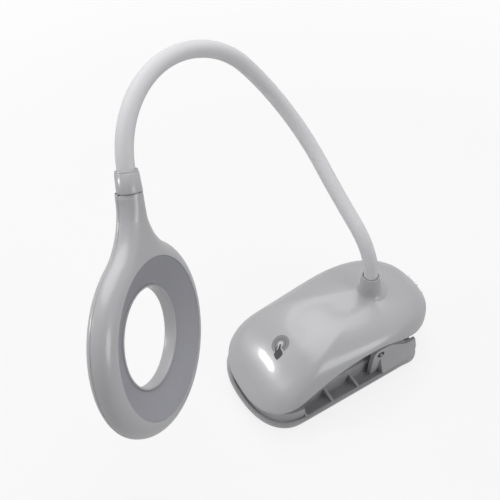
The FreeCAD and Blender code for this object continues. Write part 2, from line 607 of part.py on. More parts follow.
def arm_arc(name, radius, i):
    """A bent rod of the given radius along arc i."""
    obj = bind(doc.addObject("Part::Torus", name), Radius1="arc_length * 57.29577951 / bend_%d" % (i + 1),
               Radius2=radius, Angle3="bend_%d" % (i + 1))
    obj.Placement = sections[i].frame
    return obj


def arm_rod(name, radius, length, start, way):
    obj = bind(doc.addObject("Part::Cylinder", name), Radius=radius, Height=length)
    obj.Placement = Placement(start, Rotation(Z, way))
    return obj


def arm_ball(name, radius, centre, way=None):
    obj = bind(doc.addObject("Part::Sphere", name), Radius=radius)
    if way is not None:
        obj.Angle1 = -3
    obj.Placement = Placement(centre, Rotation(Z, way or Z))
    return obj


LAYERS = (("sleeve", "arm_radius", "arm_radius - sleeve_wall"),
          ("spine", "arm_radius - sleeve_wall - spine_gap",
           "arm_radius - sleeve_wall - spine_gap - spine_wall"),
          ("leads", "arm_radius - sleeve_wall - spine_gap - spine_wall - leads_gap", None))
ROOTS = {"sleeve": "arm_root",
         "spine": "collar_top_z - crown_z + shell_wall + collar_boss_depth + nut_height + nut_gap",
         "leads": "collar_top_z - crown_z + shell_wall + collar_boss_depth + nut_height + leads_tail"}
for i, sec in enumerate(sections):
    for layer, out_size, in_size in LAYERS:
        name = "arm_%s_%d" % (layer, i + 1)
        rods = [arm_arc(name + "_rod", out_size, i)]
        bores = [arm_arc(name + "_bore", in_size, i)] if in_size else []
        if i == 0:
            rods.append(arm_rod(name + "_root", out_size, ROOTS[layer], sec.start, sec.way * -1))
            if in_size:
                bores.append(arm_rod(name + "_root_bore", in_size, ROOTS[layer], sec.start,
                                     sec.way * -1))
        if i == 6:
            rods.append(arm_rod(name + "_tip", out_size, "arm_end", sec.end, sec.out))
            if in_size:
                bores.append(arm_rod(name + "_tip_bore", in_size, "arm_end", sec.end, sec.out))
        body = fuse(name + "_rods", *rods) if len(rods) > 1 else rods[0]
        if bores:
            bore = fuse(name + "_bores", *bores) if len(bores) > 1 else bores[0]
            body = cut(name + "_tube", body, bore)
        if i < 6 and layer == "sleeve":
            ball = arm_ball(name + "_ball", "arm_radius - ball_gap", sec.end, sec.out)
            body = fuse(name + "_knuckle", body, ball)
        if i < 6 and layer != "sleeve":
            stop_at = sec.end - sec.out * d.spine_stop
            end_cut = arm_rod(name + "_stop", "2 * arm_radius", "arm_radius", stop_at, sec.out)
            body = cut(name + "_short", body, end_cut)
        if i > 0:
            room = "arm_radius + socket_gap" if layer == "sleeve" else "arm_radius + 2 * socket_gap"
            body = cut(name + "_cup", body, arm_ball(name + "_room", room, sec.start))
        node(body, "arm_%s_%d" % (layer, i + 1))

nut_shape = Part.Face(Part.makePolygon([Vector(d.nut_radius * math.cos(math.radians(60 * i)),
                                               d.nut_radius * math.sin(math.radians(60 * i)), 0)
                                        for i in range(7)])).extrude(Vector(0, 0, d.nut_height))
nut = on_collar(shape("nut_blank", nut_shape), nut_top - d.nut_height)
nut_bore = on_collar(bind(doc.addObject("Part::Cylinder", "nut_bore"), Radius="arm_radius - sleeve_wall",
                          Height="3 * nut_height"), nut_top - 2 * d.nut_height)
node(cut("arm_nut", nut, nut_bore), "arm_nut")

# head, drawn with its ring's axis along Z and its neck along +Y, then set at the end of the arm
normal = Rotation(heading, d.face_roll).multVec(across)
up_neck = heading * -1
HEAD = Placement(tip + heading * d.neck_length, Rotation(up_neck.cross(normal), up_neck, normal, "XYZ"))


def arc_edge(cx, cz, rx, rz, first, last):
    """Quarter of an ellipse in the XZ plane between two angles."""
    points = []
    for k in range(3):
        a = math.radians(first + (last - first) * k / 2)
        points.append(Vector(cx + rx * math.cos(a), 0, cz + rz * math.sin(a)))
    if abs(rx - rz) < 1e-6:
        return Part.Arc(*points).toShape()
    if rx >= rz:
        curve = Part.Ellipse(Vector(cx + rx, 0, cz), Vector(cx, 0, cz + rz), Vector(cx, 0, cz))
    else:
        curve = Part.Ellipse(Vector(cx, 0, cz + rz), Vector(cx + rx, 0, cz), Vector(cx, 0, cz))
    ends = sorted(curve.parameter(p) for p in (points[0], points[2]))
    middle = curve.parameter(points[1])
    if not ends[0] < middle < ends[1]:
        ends = [ends[1], ends[0] + 2 * math.pi]
    return Part.ArcOfEllipse(curve, *ends).toShape()


def ring_solid(name, wall, inner_radius):
    """Rounded ring of the head, or the space inside its walls."""
    front = arc_edge(d.lens_radius, d.split_z, d.ring_radius - d.lens_radius - wall,
                     d.face_z - d.split_z - wall, 90, 0)
    back = arc_edge(d.ring_radius - d.back_edge, d.split_z, d.back_edge - wall,
                    d.split_z - d.back_z - wall, 0, -90)
    corners = [Vector(d.ring_radius - d.back_edge, 0, d.back_z + wall), Vector(inner_radius, 0,
                                                                               d.back_z + wall),
               Vector(inner_radius, 0, d.face_z - wall), Vector(d.lens_radius, 0, d.face_z - wall)]
    lines = [Part.LineSegment(p, q).toShape() for p, q in zip(corners, corners[1:])]
    face = Part.Face(Part.Wire(Part.__sortEdges__([front, back] + lines)))
    return shape(name, face.revolve(Vector(), Z, 360))


def neck_half_width(along):
    """Half width of the neck at a distance from the end of its collar; it flares onto the ring."""
    outer_r, root = d.ring_radius, d.neck_root_radius
    flare = d.neck_length - math.sqrt((outer_r - root) * (outer_r + root + 2 * d.neck_blend))
    if along <= flare:
        return d.neck_radius + (root - d.neck_radius) * (along - d.head_collar) / (flare - d.head_collar)
    turn = min(along - flare, d.neck_blend * 0.75)
    rest = along - flare - turn
    return root + d.neck_blend - math.sqrt(d.neck_blend ** 2 - turn ** 2) + rest


def neck_solid(name, first, last):
    wires = []
    for i in range(9):
        along = first + (last - first) * i / 8
        half = neck_half_width(along)
        f = (along - first) / (last - first)
        top = d.neck_radius + (d.face_z - d.neck_sink - d.neck_radius) * f
        low = d.neck_radius + (-d.back_z - d.neck_sink - d.neck_radius) * f
        power = 2 / (2 + 1.6 * f * f)
        points = []
        for k in range(40):
            a = 2 * math.pi * k / 40
            c, s = math.cos(a), math.sin(a)
            height = top + (low - top) * (1 - s) / 2
            points.append(Vector(half * math.copysign(abs(c) ** power, c), d.neck_length - along,
                                 height * math.copysign(abs(s) ** power, s)))
        wires.append(closed_curve(points))
    return shape(name, Part.makeLoft(wires, True, False))


big = "4 * ring_radius"
collar_y_low = "neck_length - head_collar"
neck_end = d.neck_length - d.lens_radius + 1
head_out = fuse("head_out", ring_solid("ring_out", 0, d.hole_radius),
                neck_solid("neck_out", d.head_collar, neck_end))
neck_space = cylinder("neck_space", "neck_bore", "neck_length - lens_radius + 10", y="lens_radius - 5",
                      axis="y")
head_in = fuse("head_in", ring_solid("ring_in", d.head_wall, d.hole_radius + d.hole_wall), neck_space)
front_space = box("front_space", big, big, big, "-2 * ring_radius", "-2 * ring_radius", "split_z")
back_space = box("back_space", big, big, big, "-2 * ring_radius", "-2 * ring_radius",
                 "split_z - 4 * ring_radius")
lens_hole = cylinder("lens_hole", "lens_radius", "4 * ring_radius", z="split_z - 1")
front_skin = cut("front_skin", common("front_half_head", head_out, front_space), head_in, lens_hole)
spots = []
for angle in (-90 - d.head_screw_angle, -90, -90 + d.head_screw_angle):
    spots.append((d.head_screw_circle * math.cos(math.radians(angle)),
                  d.head_screw_circle * math.sin(math.radians(angle))))
bosses = [cylinder("head_boss_%d" % i, "head_boss_radius", "face_z - split_z", num(x), num(y), "split_z")
          for i, (x, y) in enumerate(spots)]
threads = [cylinder("head_thread_%d" % i, "head_screw_radius + screw_gap", "head_screw_length", num(x),
                    num(y), "back_z")
           for i, (x, y) in enumerate(spots)]
boss_in = common("head_boss_in", fuse("head_bosses", *bosses), head_out)
front_solid = fuse("front_solid", front_skin, boss_in)
lens_room = cylinder("lens_room", "lens_radius + lens_ease", "2 * ring_radius", z="split_z - 1")
node(cut("head_front", front_solid, lens_room, *threads), "head_front", HEAD)

head_socket = cone("head_socket", "neck_radius - neck_step", "head_collar_radius", "head_collar",
                   y=collar_y_low, axis="y")
collar_link_rod = cylinder("collar_link_rod", "neck_radius - neck_step", "3",
                           y=collar_y_low + " - 2.5", axis="y")
collar_link = common("collar_link", collar_link_rod, back_space)
hole_wall_out = cylinder("hole_wall_out", "hole_radius + hole_wall", "hole_lip_z - back_z - head_wall / 2",
                         z="back_z + head_wall / 2")
hole_wall_in = cylinder("hole_wall_in", "hole_radius", big, z="-2 * ring_radius")
hole_wall = cut("hole_wall", hole_wall_out, hole_wall_in)
back_skin = cut("back_skin", common("back_half_head", head_out, back_space), head_in)
back_solid = fuse("back_solid", back_skin, hole_wall, head_socket, collar_link)
sinks = [cylinder("head_sink_%d" % i, "head_screw_head + screw_gap", "head_wall / 2 + 1", num(x), num(y),
                  "back_z - 1")
         for i, (x, y) in enumerate(spots)]
arm_way = cylinder("head_arm_way", "neck_bore", "2 * head_collar + 4", y=collar_y_low + " - 4", axis="y")
node(cut("head_back", back_solid, arm_way, *threads, *sinks), "head_back", HEAD)

lens_in, lens_out = d.hole_radius + d.hole_wall + d.lens_gap, d.lens_radius - d.lens_gap
lens_low, lens_high = d.hole_lip_z - d.lens_inner_drop, d.face_z - d.lens_inset
lens_line = [Vector(lens_in, 0, lens_low), Vector(lens_out, 0, lens_high),
             Vector(lens_out, 0, lens_high - d.lens_wall), Vector(lens_in, 0, lens_low - d.lens_wall)]
node(revolved("diffuser", lens_line), "diffuser", HEAD)
board_low = "back_z + head_wall"
led_disc = cylinder("led_board_disc", "led_board_outer", "led_board_wall", z=board_low)
led_hole = cylinder("led_board_hole", "led_board_inner", "10", z=board_low + " - 2")
node(cut("led_board", led_disc, led_hole), "led_board", HEAD)
chips = []
for i in range(int(d.led_count)):
    a = 2 * math.pi * i / d.led_count
    corner = Vector(d.led_circle - d.led_size / 2, -d.led_size / 2, 0)
    chip = Part.makeBox(d.led_size, d.led_size, d.led_height, corner)
    chip.rotate(Vector(), Z, math.degrees(a))
    chips.append(chip)
leds = shape("leds", Part.makeCompound(chips))
node(leds, "leds", HEAD * Placement(Vector(0, 0, d.back_z + d.head_wall + d.led_board_wall), Rotation()))
low = d.back_z + d.head_wall + d.led_board_wall + d.lead_radius + d.screw_gap
stops = [Vector(0, d.neck_length - d.arm_end, 0), Vector(0, d.lead_turn_y, 0),
         Vector(0, d.led_board_outer - 1, low)]
ways = [(stops[1] - stops[0]).normalize(), (stops[2] - stops[1]).normalize()]
cut_back = d.lead_bend * math.tan(ways[0].getAngle(ways[1]) / 2)
arc = [stops[1] - ways[0] * cut_back, stops[1] + ways[1] * cut_back]
inward = (ways[1] - ways[0]).normalize()
depth = math.hypot(cut_back, d.lead_bend) - d.lead_bend
lead_path = Part.Wire([Part.LineSegment(stops[0], arc[0]).toShape(),
                       Part.Arc(arc[0], stops[1] + inward * depth, arc[1]).toShape(),
                       Part.LineSegment(arc[1], stops[2]).toShape()])
lead_round = Part.Wire(Part.makeCircle(d.lead_radius, stops[0], ways[0]))
node(shape("head_leads", lead_path.makePipeShell([lead_round], True, False)), "head_leads", HEAD)
screws = []
for i, (x, y) in enumerate(spots):
    shank = cylinder("head_screw_shank_%d" % i, "head_screw_radius",
                     "head_screw_length - head_wall / 2 - screw_gap", num(x), num(y),
                     "back_z + head_wall / 2")
    cap = cylinder("head_screw_cap_%d" % i, "head_screw_head", "head_wall / 2", num(x), num(y), "back_z")
    screws.append(fuse("head_screw_%d" % i, shank, cap))
head_screws = doc.addObject("Part::Compound", "head_screws")
head_screws.Links = screws
node(head_screws, "head_screws", HEAD)

doc.recompute()
faults = [o.Name for o in doc.Objects if "Invalid" in o.State or "Error" in o.State]
faults += [o.Label for o in NODES if o.Shape.isNull() or not o.Shape.isValid() or not o.Shape.Solids]
if faults:
    raise RuntimeError("not built: " + ", ".join(faults))
os.makedirs("parts", exist_ok=True)
for obj in NODES:
    obj.Shape.exportStep("parts/%s.step" % obj.Label)
    print("%s: %d solid, %.1f mm3" % (obj.Label, len(obj.Shape.Solids), obj.Shape.Volume))
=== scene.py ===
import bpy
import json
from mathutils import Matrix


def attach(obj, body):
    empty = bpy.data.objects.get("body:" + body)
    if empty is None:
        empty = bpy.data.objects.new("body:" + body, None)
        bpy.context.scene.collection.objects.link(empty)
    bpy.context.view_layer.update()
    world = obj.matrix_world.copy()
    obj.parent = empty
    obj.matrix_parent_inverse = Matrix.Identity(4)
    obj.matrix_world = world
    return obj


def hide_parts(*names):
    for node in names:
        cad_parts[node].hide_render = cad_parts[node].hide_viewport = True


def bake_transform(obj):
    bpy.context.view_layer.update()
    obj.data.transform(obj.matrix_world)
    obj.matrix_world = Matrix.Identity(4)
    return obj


bl_info = {
    "name": "Clip-on reading lamp",
    "version": (1, 0, 0),
    "blender": (4, 5, 0),
    "location": "View3D > Sidebar > Lamp",
    "description": "Dresses a clip-on reading lamp: domed clip base, sleeved arm and ring-shaped head",
    "category": "Object",
}

import json
import math

import bmesh
import bpy
import numpy as np
from bpy.props import FloatProperty, FloatVectorProperty, PointerProperty
from mathutils import Matrix

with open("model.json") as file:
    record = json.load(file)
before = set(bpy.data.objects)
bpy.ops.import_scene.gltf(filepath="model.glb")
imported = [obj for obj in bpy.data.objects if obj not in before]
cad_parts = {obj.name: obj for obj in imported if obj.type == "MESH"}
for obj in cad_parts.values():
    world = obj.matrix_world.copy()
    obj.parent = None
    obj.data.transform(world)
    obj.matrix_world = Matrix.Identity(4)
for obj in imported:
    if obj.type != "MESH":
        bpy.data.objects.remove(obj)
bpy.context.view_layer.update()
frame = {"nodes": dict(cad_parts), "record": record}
MM = 0.001

# plan and dome of the base, in millimetres: the shape is fixed, so these aren't for a user to change
HALF_WIDTH, NOSE_Y, NOSE_LEN, NOSE_POWER = 32.5, -61.0, 22.5, 2.34
TAIL_Y, TAIL_LEN, TAIL_POWER = 65.97, 60.0, 2.41
BASE_Z, CROWN_Z = 11.5, 47.9
# powers of the dome towards the front, the side and the rear: of its reach and of its height
BULGE = (3.1, 1.33, 1.83)
EDGE = (1.0, 9.0, 3.24)
# arched rim: heights at the nose, the peak and the rear, place of the peak, length and power of its curves
RIM = dict(nose_z=12.0, peak_z=37.4, peak_y=13.0, rear_z=22.5, fall=45.0, power=1.9)
# arm's collar: place, height of its rim, lean in degrees
COLLAR_Y, COLLAR_TOP, LEAN = 25.4, 62.2, 5.61
# shell: wall, how far its inner face starts below the outer one, rounding of its rim, opening round the arm
SHELL_WALL, INNER_DROP, RIM_ROUND, ARM_OPENING = 2.0, 1.0, 0.6, 4.6
# inside of the rim: the share of the way up to an angle of the inner profile, in radians, that is drawn
INNER_SHARE, INNER_ANGLE = 0.12, 1.2
# crown along the middle of the nose: height, half width, rear end and the powers of its rise and fall
CREST, CREST_HALF, CREST_END, CREST_RISE, CREST_FALL = 3.0, 20.0, 12.0, 1.3, 3.0
# charging port: half width, half height, height of its middle and power of its rounded outline
PORT_HALF, PORT_TALL, PORT_Z, PORT_POWER = 5.3, 2.3, 32.1, 0.35
# its frame: overlap on the shell, growth of its width and height
PORT_TRIM, PORT_WIDEN, PORT_HEIGHTEN = 0.2, 0.6, 1.3
# along Y: the span that holds the shell's rear face, and where the opening in the shell begins
PORT_SPAN, PORT_CUT = (40.0, 66.0), 52.0
# touch mark: its place, lift of the print, the finger's direction and the one across it
MARK_AT, MARK_LIFT = np.array([0.0, -34.0]), 0.03
FINGER, ACROSS = np.array([-0.70, 0.714]), np.array([0.714, 0.70])
# its hand, in shares of the mark's radius: the palm's place, half sizes and power of its outline
PALM_AT, PALM_LONG, PALM_WIDE, PALM_POWER = 1.08, 0.6, 0.5, 1.35
# finger and thumb: half width, quickness of the tip, flare of the root, start, length, offset and lean
FINGERS = ((0.095, 7, 0.12, 0.0, 0.72, 0.0, 0.0), (0.085, 5, 0.0, 0.36, 0.6, -0.4, 0.05))
# clear field round them: ends and half width by the finger, half sizes and power by the palm
FIELD_TIP, FIELD_END, FIELD_HALF, FIELD_LONG, FIELD_WIDE, FIELD_POWER = -0.22, 0.8, 0.22, 0.74, 0.66, 1.5
# arm: length of an arc, how far the sleeve runs into the collar and the head
ARC, SLEEVE_SINK = 35.57, 6.0
# bend and turn of each arc, and roll of the head, in degrees
BENDS = (51.13, 3.24, 23.94, 26.49, 37.71, 41.67, 46.19)
TURNS = (-174.55, 26.3, -43.41, -37.82, -83.98, -65.24, -75.15)
FACE_ROLL = -4.69
# head: length of the neck, radii of the ring, the diffuser, the hole and its lip
NECK, RING, LENS, HOLE, LIP = 76.3, 44.9, 37.0, 22.7, 23.8
# heights of its front, its split and its back, width of the back's rounding, the hole's edge on the back
FACE, SPLIT, BACK, BACK_ROUND, HOLE_BACK = 5.3, -2.7, -6.7, 6.0, HOLE + 0.5
# neck: half width at its root and top, fillet to the ring, depth of its socket, where its faces draw in
NECK_ROOT, NECK_TOP, BLEND, SOCKET, DRAW_FROM, DRAW_OVER = 6.2, 5.8, 28.0, 10.0, 44.0, 20.0
# seam between front and back: half width, depth, cover by the back
SEAM, SEAM_DEPTH, SEAM_COVER = 0.14, 0.7, 0.7
# clip: pivot pin, its ends, and the spring's coil and wire radius, pitch, turns and the end of its legs
PIN = np.array([0.0, 18.4, 21.8])
PIN_END = 27.2
COIL, WIRE, PITCH, COILS, LEG_Y = 4.2, 0.7, 2.0, 5, 38.0
# heights of its legs above the rim and the jaw's underside, radius at the wire's ends, share that twists
UPPER_LEG, LOWER_LEG, WIRE_END, TWISTED = 0.3, 2.5, 0.02, 0.96
# turned profiles: (radius, height)
COLLAR_RIM = [(5.2, -0.55), (5.12, -0.2), (4.9, 0.0), (4.55, 0.0), (4.35, -0.15), (4.28, -0.5), (4.28, -7.0)]
COLLAR_FLARE = [(10.2, -1.7), (8.6, -0.55), (7.0, 0.7), (6.15, 2.5), (5.9, 5.4)]
HOLE_WALL = [(LIP, -1.6), (LIP, -0.85), (LIP - 0.15, -0.55), (LIP - 0.45, -0.5), (LIP - 0.75, -0.55),
             (HOLE + 0.1, -0.8), (HOLE, -1.2), (HOLE, -5.9), (HOLE + 0.12, -6.4), (HOLE_BACK, BACK)]
LENS_RIM = [(LENS, FACE), (LENS - 0.03, FACE - 0.25), (LENS - 0.05, FACE - 1.2)]
LENS_FACE = [(LIP + 0.12, -1.05), (25.8, -0.45), (29.0, 1.15), (32.8, 3.0), (35.5, 4.35), (LENS - 0.5, 4.85),
             (LENS - 0.08, 4.95)]
LENS_BACK = [(LENS - 0.1, 3.6), (LIP + 0.16, -2.4), (LIP + 0.12, -1.05)]
NECK_CUFF = [(4.3, 9.0), (4.3, 9.85), (4.5, 10.0), (4.85, 10.0), (5.05, 9.85), (5.12, 9.55), (5.12, 8.75),
             (5.22, 8.6), (5.35, 8.5), (5.72, 0.6), (5.7, 0.3), (5.5, 0.18), (4.6, 0.15)]
NECK_CAP = [(5.6, -0.02), (5.3, 0.1), (0.02, 0.1)]
# near-black dished ring round each pin end: painted shade in place of the pin's hole in the jaw's cheek
PIN_SHADE_RING = [(2.3, -0.4), (2.3, 0.02), (2.2, 0.08), (1.95, 0.08), (1.0, 0.03), (0.9, -0.4)]
PIN_TIP = [(0.02, -0.3), (0.95, -0.3), (0.95, 0.05), (0.85, 0.22), (0.5, 0.34), (0.02, 0.38)]
# rows of the port's frame from its tunnel to its outer edge: size of the outline, and how far it stands out
PORT_ROWS = [(1.0, -4.0), (1.0, -0.2), (1.02, 0.02), (1.1, 0.03), (1.16, 0.0), (1.18, -0.6)]
# bands of the touch mark: inner and outer radius as shares of the mark's radius
MARK_BANDS = (("touch_ring_outer", 0.66, 1.0, "mark_shade"), ("touch_ring_line", 0.54, 0.66, "mark_dark"),
              ("touch_ring_inner", 0.3, 0.54, "mark_shade"), ("touch_halo", 0.02, 0.3, "mark_pale"))
# studio lights, in metres and watts: place, size and power, and the place that all face
LIGHTS = (("overhead", (-0.30, 0.12, 0.98), 1.0, 7.5), ("nose_light", (-0.40, -0.80, 0.42), 0.14, 2.5),
          ("flank_light", (0.78, 0.27, 0.52), 0.42, 2.0))
LIGHT_AIM = np.array([-0.02, -0.04, 0.08])
# floor, in metres: half its side, and how far it lies below the lamp
FLOOR_HALF, FLOOR_DROP = 3.0, 0.0002
# fineness of the meshes: points round a piece, rows along it, and how the shell's rows crowd to its rim
SHELL_SIDES, SHELL_ROWS, SHELL_CROWD, PORT_SIDES, MARK_SIDES, MARK_ROWS = 288, 110, 1.5, 96, 240, 14
SLEEVE_SIDES, SLEEVE_ROWS, HEAD_SIDES, NECK_SIDES, PIN_SIDES = 48, 72, 192, 96, 48
SPRING_SIDES, SPRING_ROWS, LEG_ROWS = 14, 420, 20
# repeats of each search by halving, a length beyond the base, and a direction that no path starts along
HALVINGS, BEYOND, ASKEW = 50, 300.0, np.array([0.3, 0.5, 0.8])


def unit(v):
    return v / np.linalg.norm(v)


def turned(v, axis, degrees):
    """A vector turned about an axis by the right-hand rule."""
    a, k = math.radians(degrees), unit(axis)
    return v * math.cos(a) + np.cross(k, v) * math.sin(a) + k * np.dot(k, v) * (1 - math.cos(a))


def arm_chain():
    """Arcs of the arm: each starts where the last ends and leaves along its direction."""
    tip, across = np.array([0.0, COLLAR_Y, COLLAR_TOP]), np.array([1.0, 0.0, 0.0])
    way = turned(np.array([0.0, 0.0, 1.0]), across, LEAN)
    arcs = []
    for bend, turn in zip(BENDS, TURNS):
        side, curve = turned(across, way, turn), math.radians(bend) / ARC
        arcs.append((tip, way, side, curve))
        hinge = np.cross(way, side)
        tip = tip + math.sin(curve * ARC) / curve * way + (1 - math.cos(curve * ARC)) / curve * side
        way, across = turned(way, hinge, bend), turned(across, hinge, bend)
    return arcs, tip, way, turned(across, way, FACE_ROLL)


ARCS, ARM_TIP, ARM_WAY, FACE_NORMAL = arm_chain()
HEAD_UP = -ARM_WAY
HEAD_X = np.cross(HEAD_UP, FACE_NORMAL)
HEAD_AT = ARM_TIP + ARM_WAY * NECK


def on_head(p):
    """Points in the head's own frame (ring axis Z, neck along Y) to the lamp's frame."""
    return HEAD_AT + p[..., :1] * HEAD_X + p[..., 1:2] * HEAD_UP + p[..., 2:3] * FACE_NORMAL


def on_collar(p):
    """Points in the collar's frame (its rim at zero, its axis along Z) to the lamp's frame."""
    c, s = math.cos(math.radians(LEAN)), math.sin(math.radians(LEAN))
    x, y, z = p[..., 0], p[..., 1], p[..., 2]
    return np.stack([x, y * c - z * s + COLLAR_Y, y * s + z * c + COLLAR_TOP], -1)


# meshes from grids
def grid_faces(rows, cols, wrap_rows, wrap_cols, first):
    """Quads of a grid of points, with either direction closed on itself."""
    i = np.arange(rows if wrap_rows else rows - 1)[:, None]
    j = np.arange(cols if wrap_cols else cols - 1)[None, :]
    i2, j2 = (i + 1) % rows, (j + 1) % cols
    quads = np.stack([i * cols + j, i2 * cols + j, i2 * cols + j2, i * cols + j2], -1)
    return quads.reshape(-1, 4) + first


def surface(name, grids, material, keep=None):
    """One object from grids of points in millimetres: (array, rows closed, columns closed).

    keep, if given, takes the middle of each face and says which faces stay."""
    points, faces, first = [], [], 0
    for array, wrap_rows, wrap_cols in grids:
        rows, cols = array.shape[:2]
        faces.append(grid_faces(rows, cols, wrap_rows, wrap_cols, first))
        points.append(array.reshape(-1, 3))
        first += rows * cols
    points, faces = np.concatenate(points), np.concatenate(faces)
    if keep is not None:
        faces = faces[keep(points[faces].mean(1))]
    mesh = bpy.data.meshes.new(name)
    mesh.vertices.add(len(points))
    mesh.vertices.foreach_set("co", (points * MM).ravel())
    mesh.loops.add(faces.size)
    mesh.loops.foreach_set("vertex_index", faces.ravel().astype(np.int32))
    mesh.polygons.add(len(faces))
    mesh.polygons.foreach_set("loop_start", np.arange(0, faces.size, 4, dtype=np.int32))
    mesh.update(calc_edges=True)
    mesh.validate()
    work = bmesh.new()
    work.from_mesh(mesh)
    bmesh.ops.remove_doubles(work, verts=work.verts, dist=2e-6)
    bmesh.ops.delete(work, geom=[v for v in work.verts if not v.link_faces], context="VERTS")
    bmesh.ops.recalc_face_normals(work, faces=work.faces)
    work.to_mesh(mesh)
    work.free()
    mesh.shade_smooth()
    obj = bpy.data.objects.new(name, mesh)
    bpy.context.scene.collection.objects.link(obj)
    mesh.materials.append(material)
    return obj


def carried(piece, body, slot, *nodes):
    """Puts a piece on a body and hides the solids that it stands for; slot is not used."""
    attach(piece, body)
    if nodes:
        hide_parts(*nodes)


def lathe(profile, count=128):
    """A profile of (radius, height) turned about Z: a grid of count directions by profile points."""
    profile = np.asarray(profile, float)
    a = np.linspace(0, 2 * np.pi, count, endpoint=False)[:, None]
    r, z = profile[None, :, 0], profile[None, :, 1]
    return np.stack([r * np.cos(a), r * np.sin(a), z + 0 * a], -1)


def eased(points, steps=8):
    """A smooth curve through points (Catmull-Rom), with steps places between neighbours."""
    p = np.asarray(points, float)
    p = np.concatenate([2 * p[:1] - p[1:2], p, 2 * p[-1:] - p[-2:-1]])
    t = np.linspace(0, 1, steps, endpoint=False)[None, :, None]
    a, b, c, d = (p[k:len(p) - 3 + k, None, :] for k in range(4))
    bend, twist = 2 * a - 5 * b + 4 * c - d, 3 * b - a - 3 * c + d
    curve = 0.5 * (2 * b + (c - a) * t + bend * t ** 2 + twist * t ** 3)
    return np.concatenate([curve.reshape(-1, p.shape[1]), p[-2:-1]])


def tube(path, radius, sides=40):
    """A round tube along a path of points, its ring carried without twist from point to point."""
    way = np.gradient(path, axis=0)
    way /= np.linalg.norm(way, axis=1, keepdims=True)
    side = [unit(np.cross(way[0], ASKEW))]
    for w in way[1:]:
        side.append(unit(side[-1] - w * np.dot(side[-1], w)))
    side = np.array(side)
    other = np.cross(way, side)
    a = np.linspace(0, 2 * np.pi, sides, endpoint=False)
    radius = np.broadcast_to(np.asarray(radius, float), (len(path),))[:, None, None]
    ring = side[:, None] * np.cos(a)[None, :, None] + other[:, None] * np.sin(a)[None, :, None]
    return path[:, None] + ring * radius


# base shell
def plan_reach(angle, inset):
    """Distance from the arm's foot to the base's outline, angle 0 towards the nose, by halving."""
    low, high = np.zeros_like(angle), np.full_like(angle, BEYOND)
    half, y0, y1 = HALF_WIDTH - inset, NOSE_Y + inset + NOSE_LEN, TAIL_Y - inset - TAIL_LEN
    for _ in range(HALVINGS):
        mid = (low + high) / 2
        x, y = mid * np.sin(angle), COLLAR_Y - mid * np.cos(angle)
        front = np.abs(x / half) ** NOSE_POWER + (np.maximum(y0 - y, 0) / NOSE_LEN) ** NOSE_POWER < 1
        rear = np.abs(x / half) ** TAIL_POWER + (np.maximum(y - y1, 0) / TAIL_LEN) ** TAIL_POWER < 1
        within = np.where(y < y0, front, np.where(y > y1, rear, np.abs(x) < half))
        low, high = np.where(within, mid, low), np.where(within, high, mid)
    return low


def mixed(angle, values):
    """Front, side and rear values shared out by direction."""
    front, rear = np.maximum(np.cos(angle), 0) ** 2, np.maximum(-np.cos(angle), 0) ** 2
    return values[1] + (values[0] - values[1]) * front + (values[2] - values[1]) * rear


def crest_lift(x, y):
    """Crown of the nose: height * s^rise * (1-s)^fall along it, times (1-(x/half)^2)^2 across it."""
    s = np.clip((y - NOSE_Y) / (CREST_END - NOSE_Y), 0, 1)
    peak = CREST_RISE / (CREST_RISE + CREST_FALL)
    along = (s / peak) ** CREST_RISE * ((1 - s) / (1 - peak)) ** CREST_FALL
    return CREST * along * np.clip(1 - (x / CREST_HALF) ** 2, 0, 1) ** 2


def dome_points(angle, t, inset=0.0, drop=0.0):
    """Dome: radius R*cos(t)^(2/bulge), height low+(high-low)*sin(t)^(2/edge), for each direction."""
    radius = plan_reach(angle, inset) * np.cos(t) ** (2 / mixed(angle, BULGE))
    x, y = radius * np.sin(angle), COLLAR_Y - radius * np.cos(angle)
    z = BASE_Z - drop + (CROWN_Z - inset - BASE_Z + drop) * np.sin(t) ** (2 / mixed(angle, EDGE))
    return np.stack([x, y, z + crest_lift(x, y)], -1)


def rim_height(y):
    """Lower rim of the shell: a power curve up from the nose to the pivot and a cosine down behind it."""
    u = np.maximum(RIM["peak_y"] - y, 0) / (RIM["peak_y"] - NOSE_Y)
    front = RIM["peak_z"] - (RIM["peak_z"] - RIM["nose_z"]) * u ** RIM["power"]
    v = np.clip((y - RIM["peak_y"]) / RIM["fall"], 0, 1)
    rear = RIM["rear_z"] + (RIM["peak_z"] - RIM["rear_z"]) * (1 + np.cos(np.pi * v)) / 2
    return np.where(y < RIM["peak_y"], front, rear)


def rim_start(angle, inset=0.0, drop=0.0, rise=0.0):
    """Where each direction's profile passes the rim, by halving."""
    low, high = np.zeros_like(angle), np.full_like(angle, np.pi / 2)
    for _ in range(HALVINGS):
        mid = (low + high) / 2
        p = dome_points(angle, mid, inset, drop)
        below = p[..., 2] < rim_height(p[..., 1]) + rise
        low, high = np.where(below, mid, low), np.where(below, high, mid)
    return high


def dome_height(x, y):
    """Height of the shell's outer face above a place in the plan."""
    angle = np.arctan2(x, COLLAR_Y - y)
    rho = np.hypot(x, COLLAR_Y - y) / plan_reach(angle, 0.0)
    share = np.clip(1 - np.clip(rho, 0, 1) ** mixed(angle, BULGE), 0, 1)
    return BASE_Z + (CROWN_Z - BASE_Z) * share ** (1 / mixed(angle, EDGE)) + crest_lift(x, y)


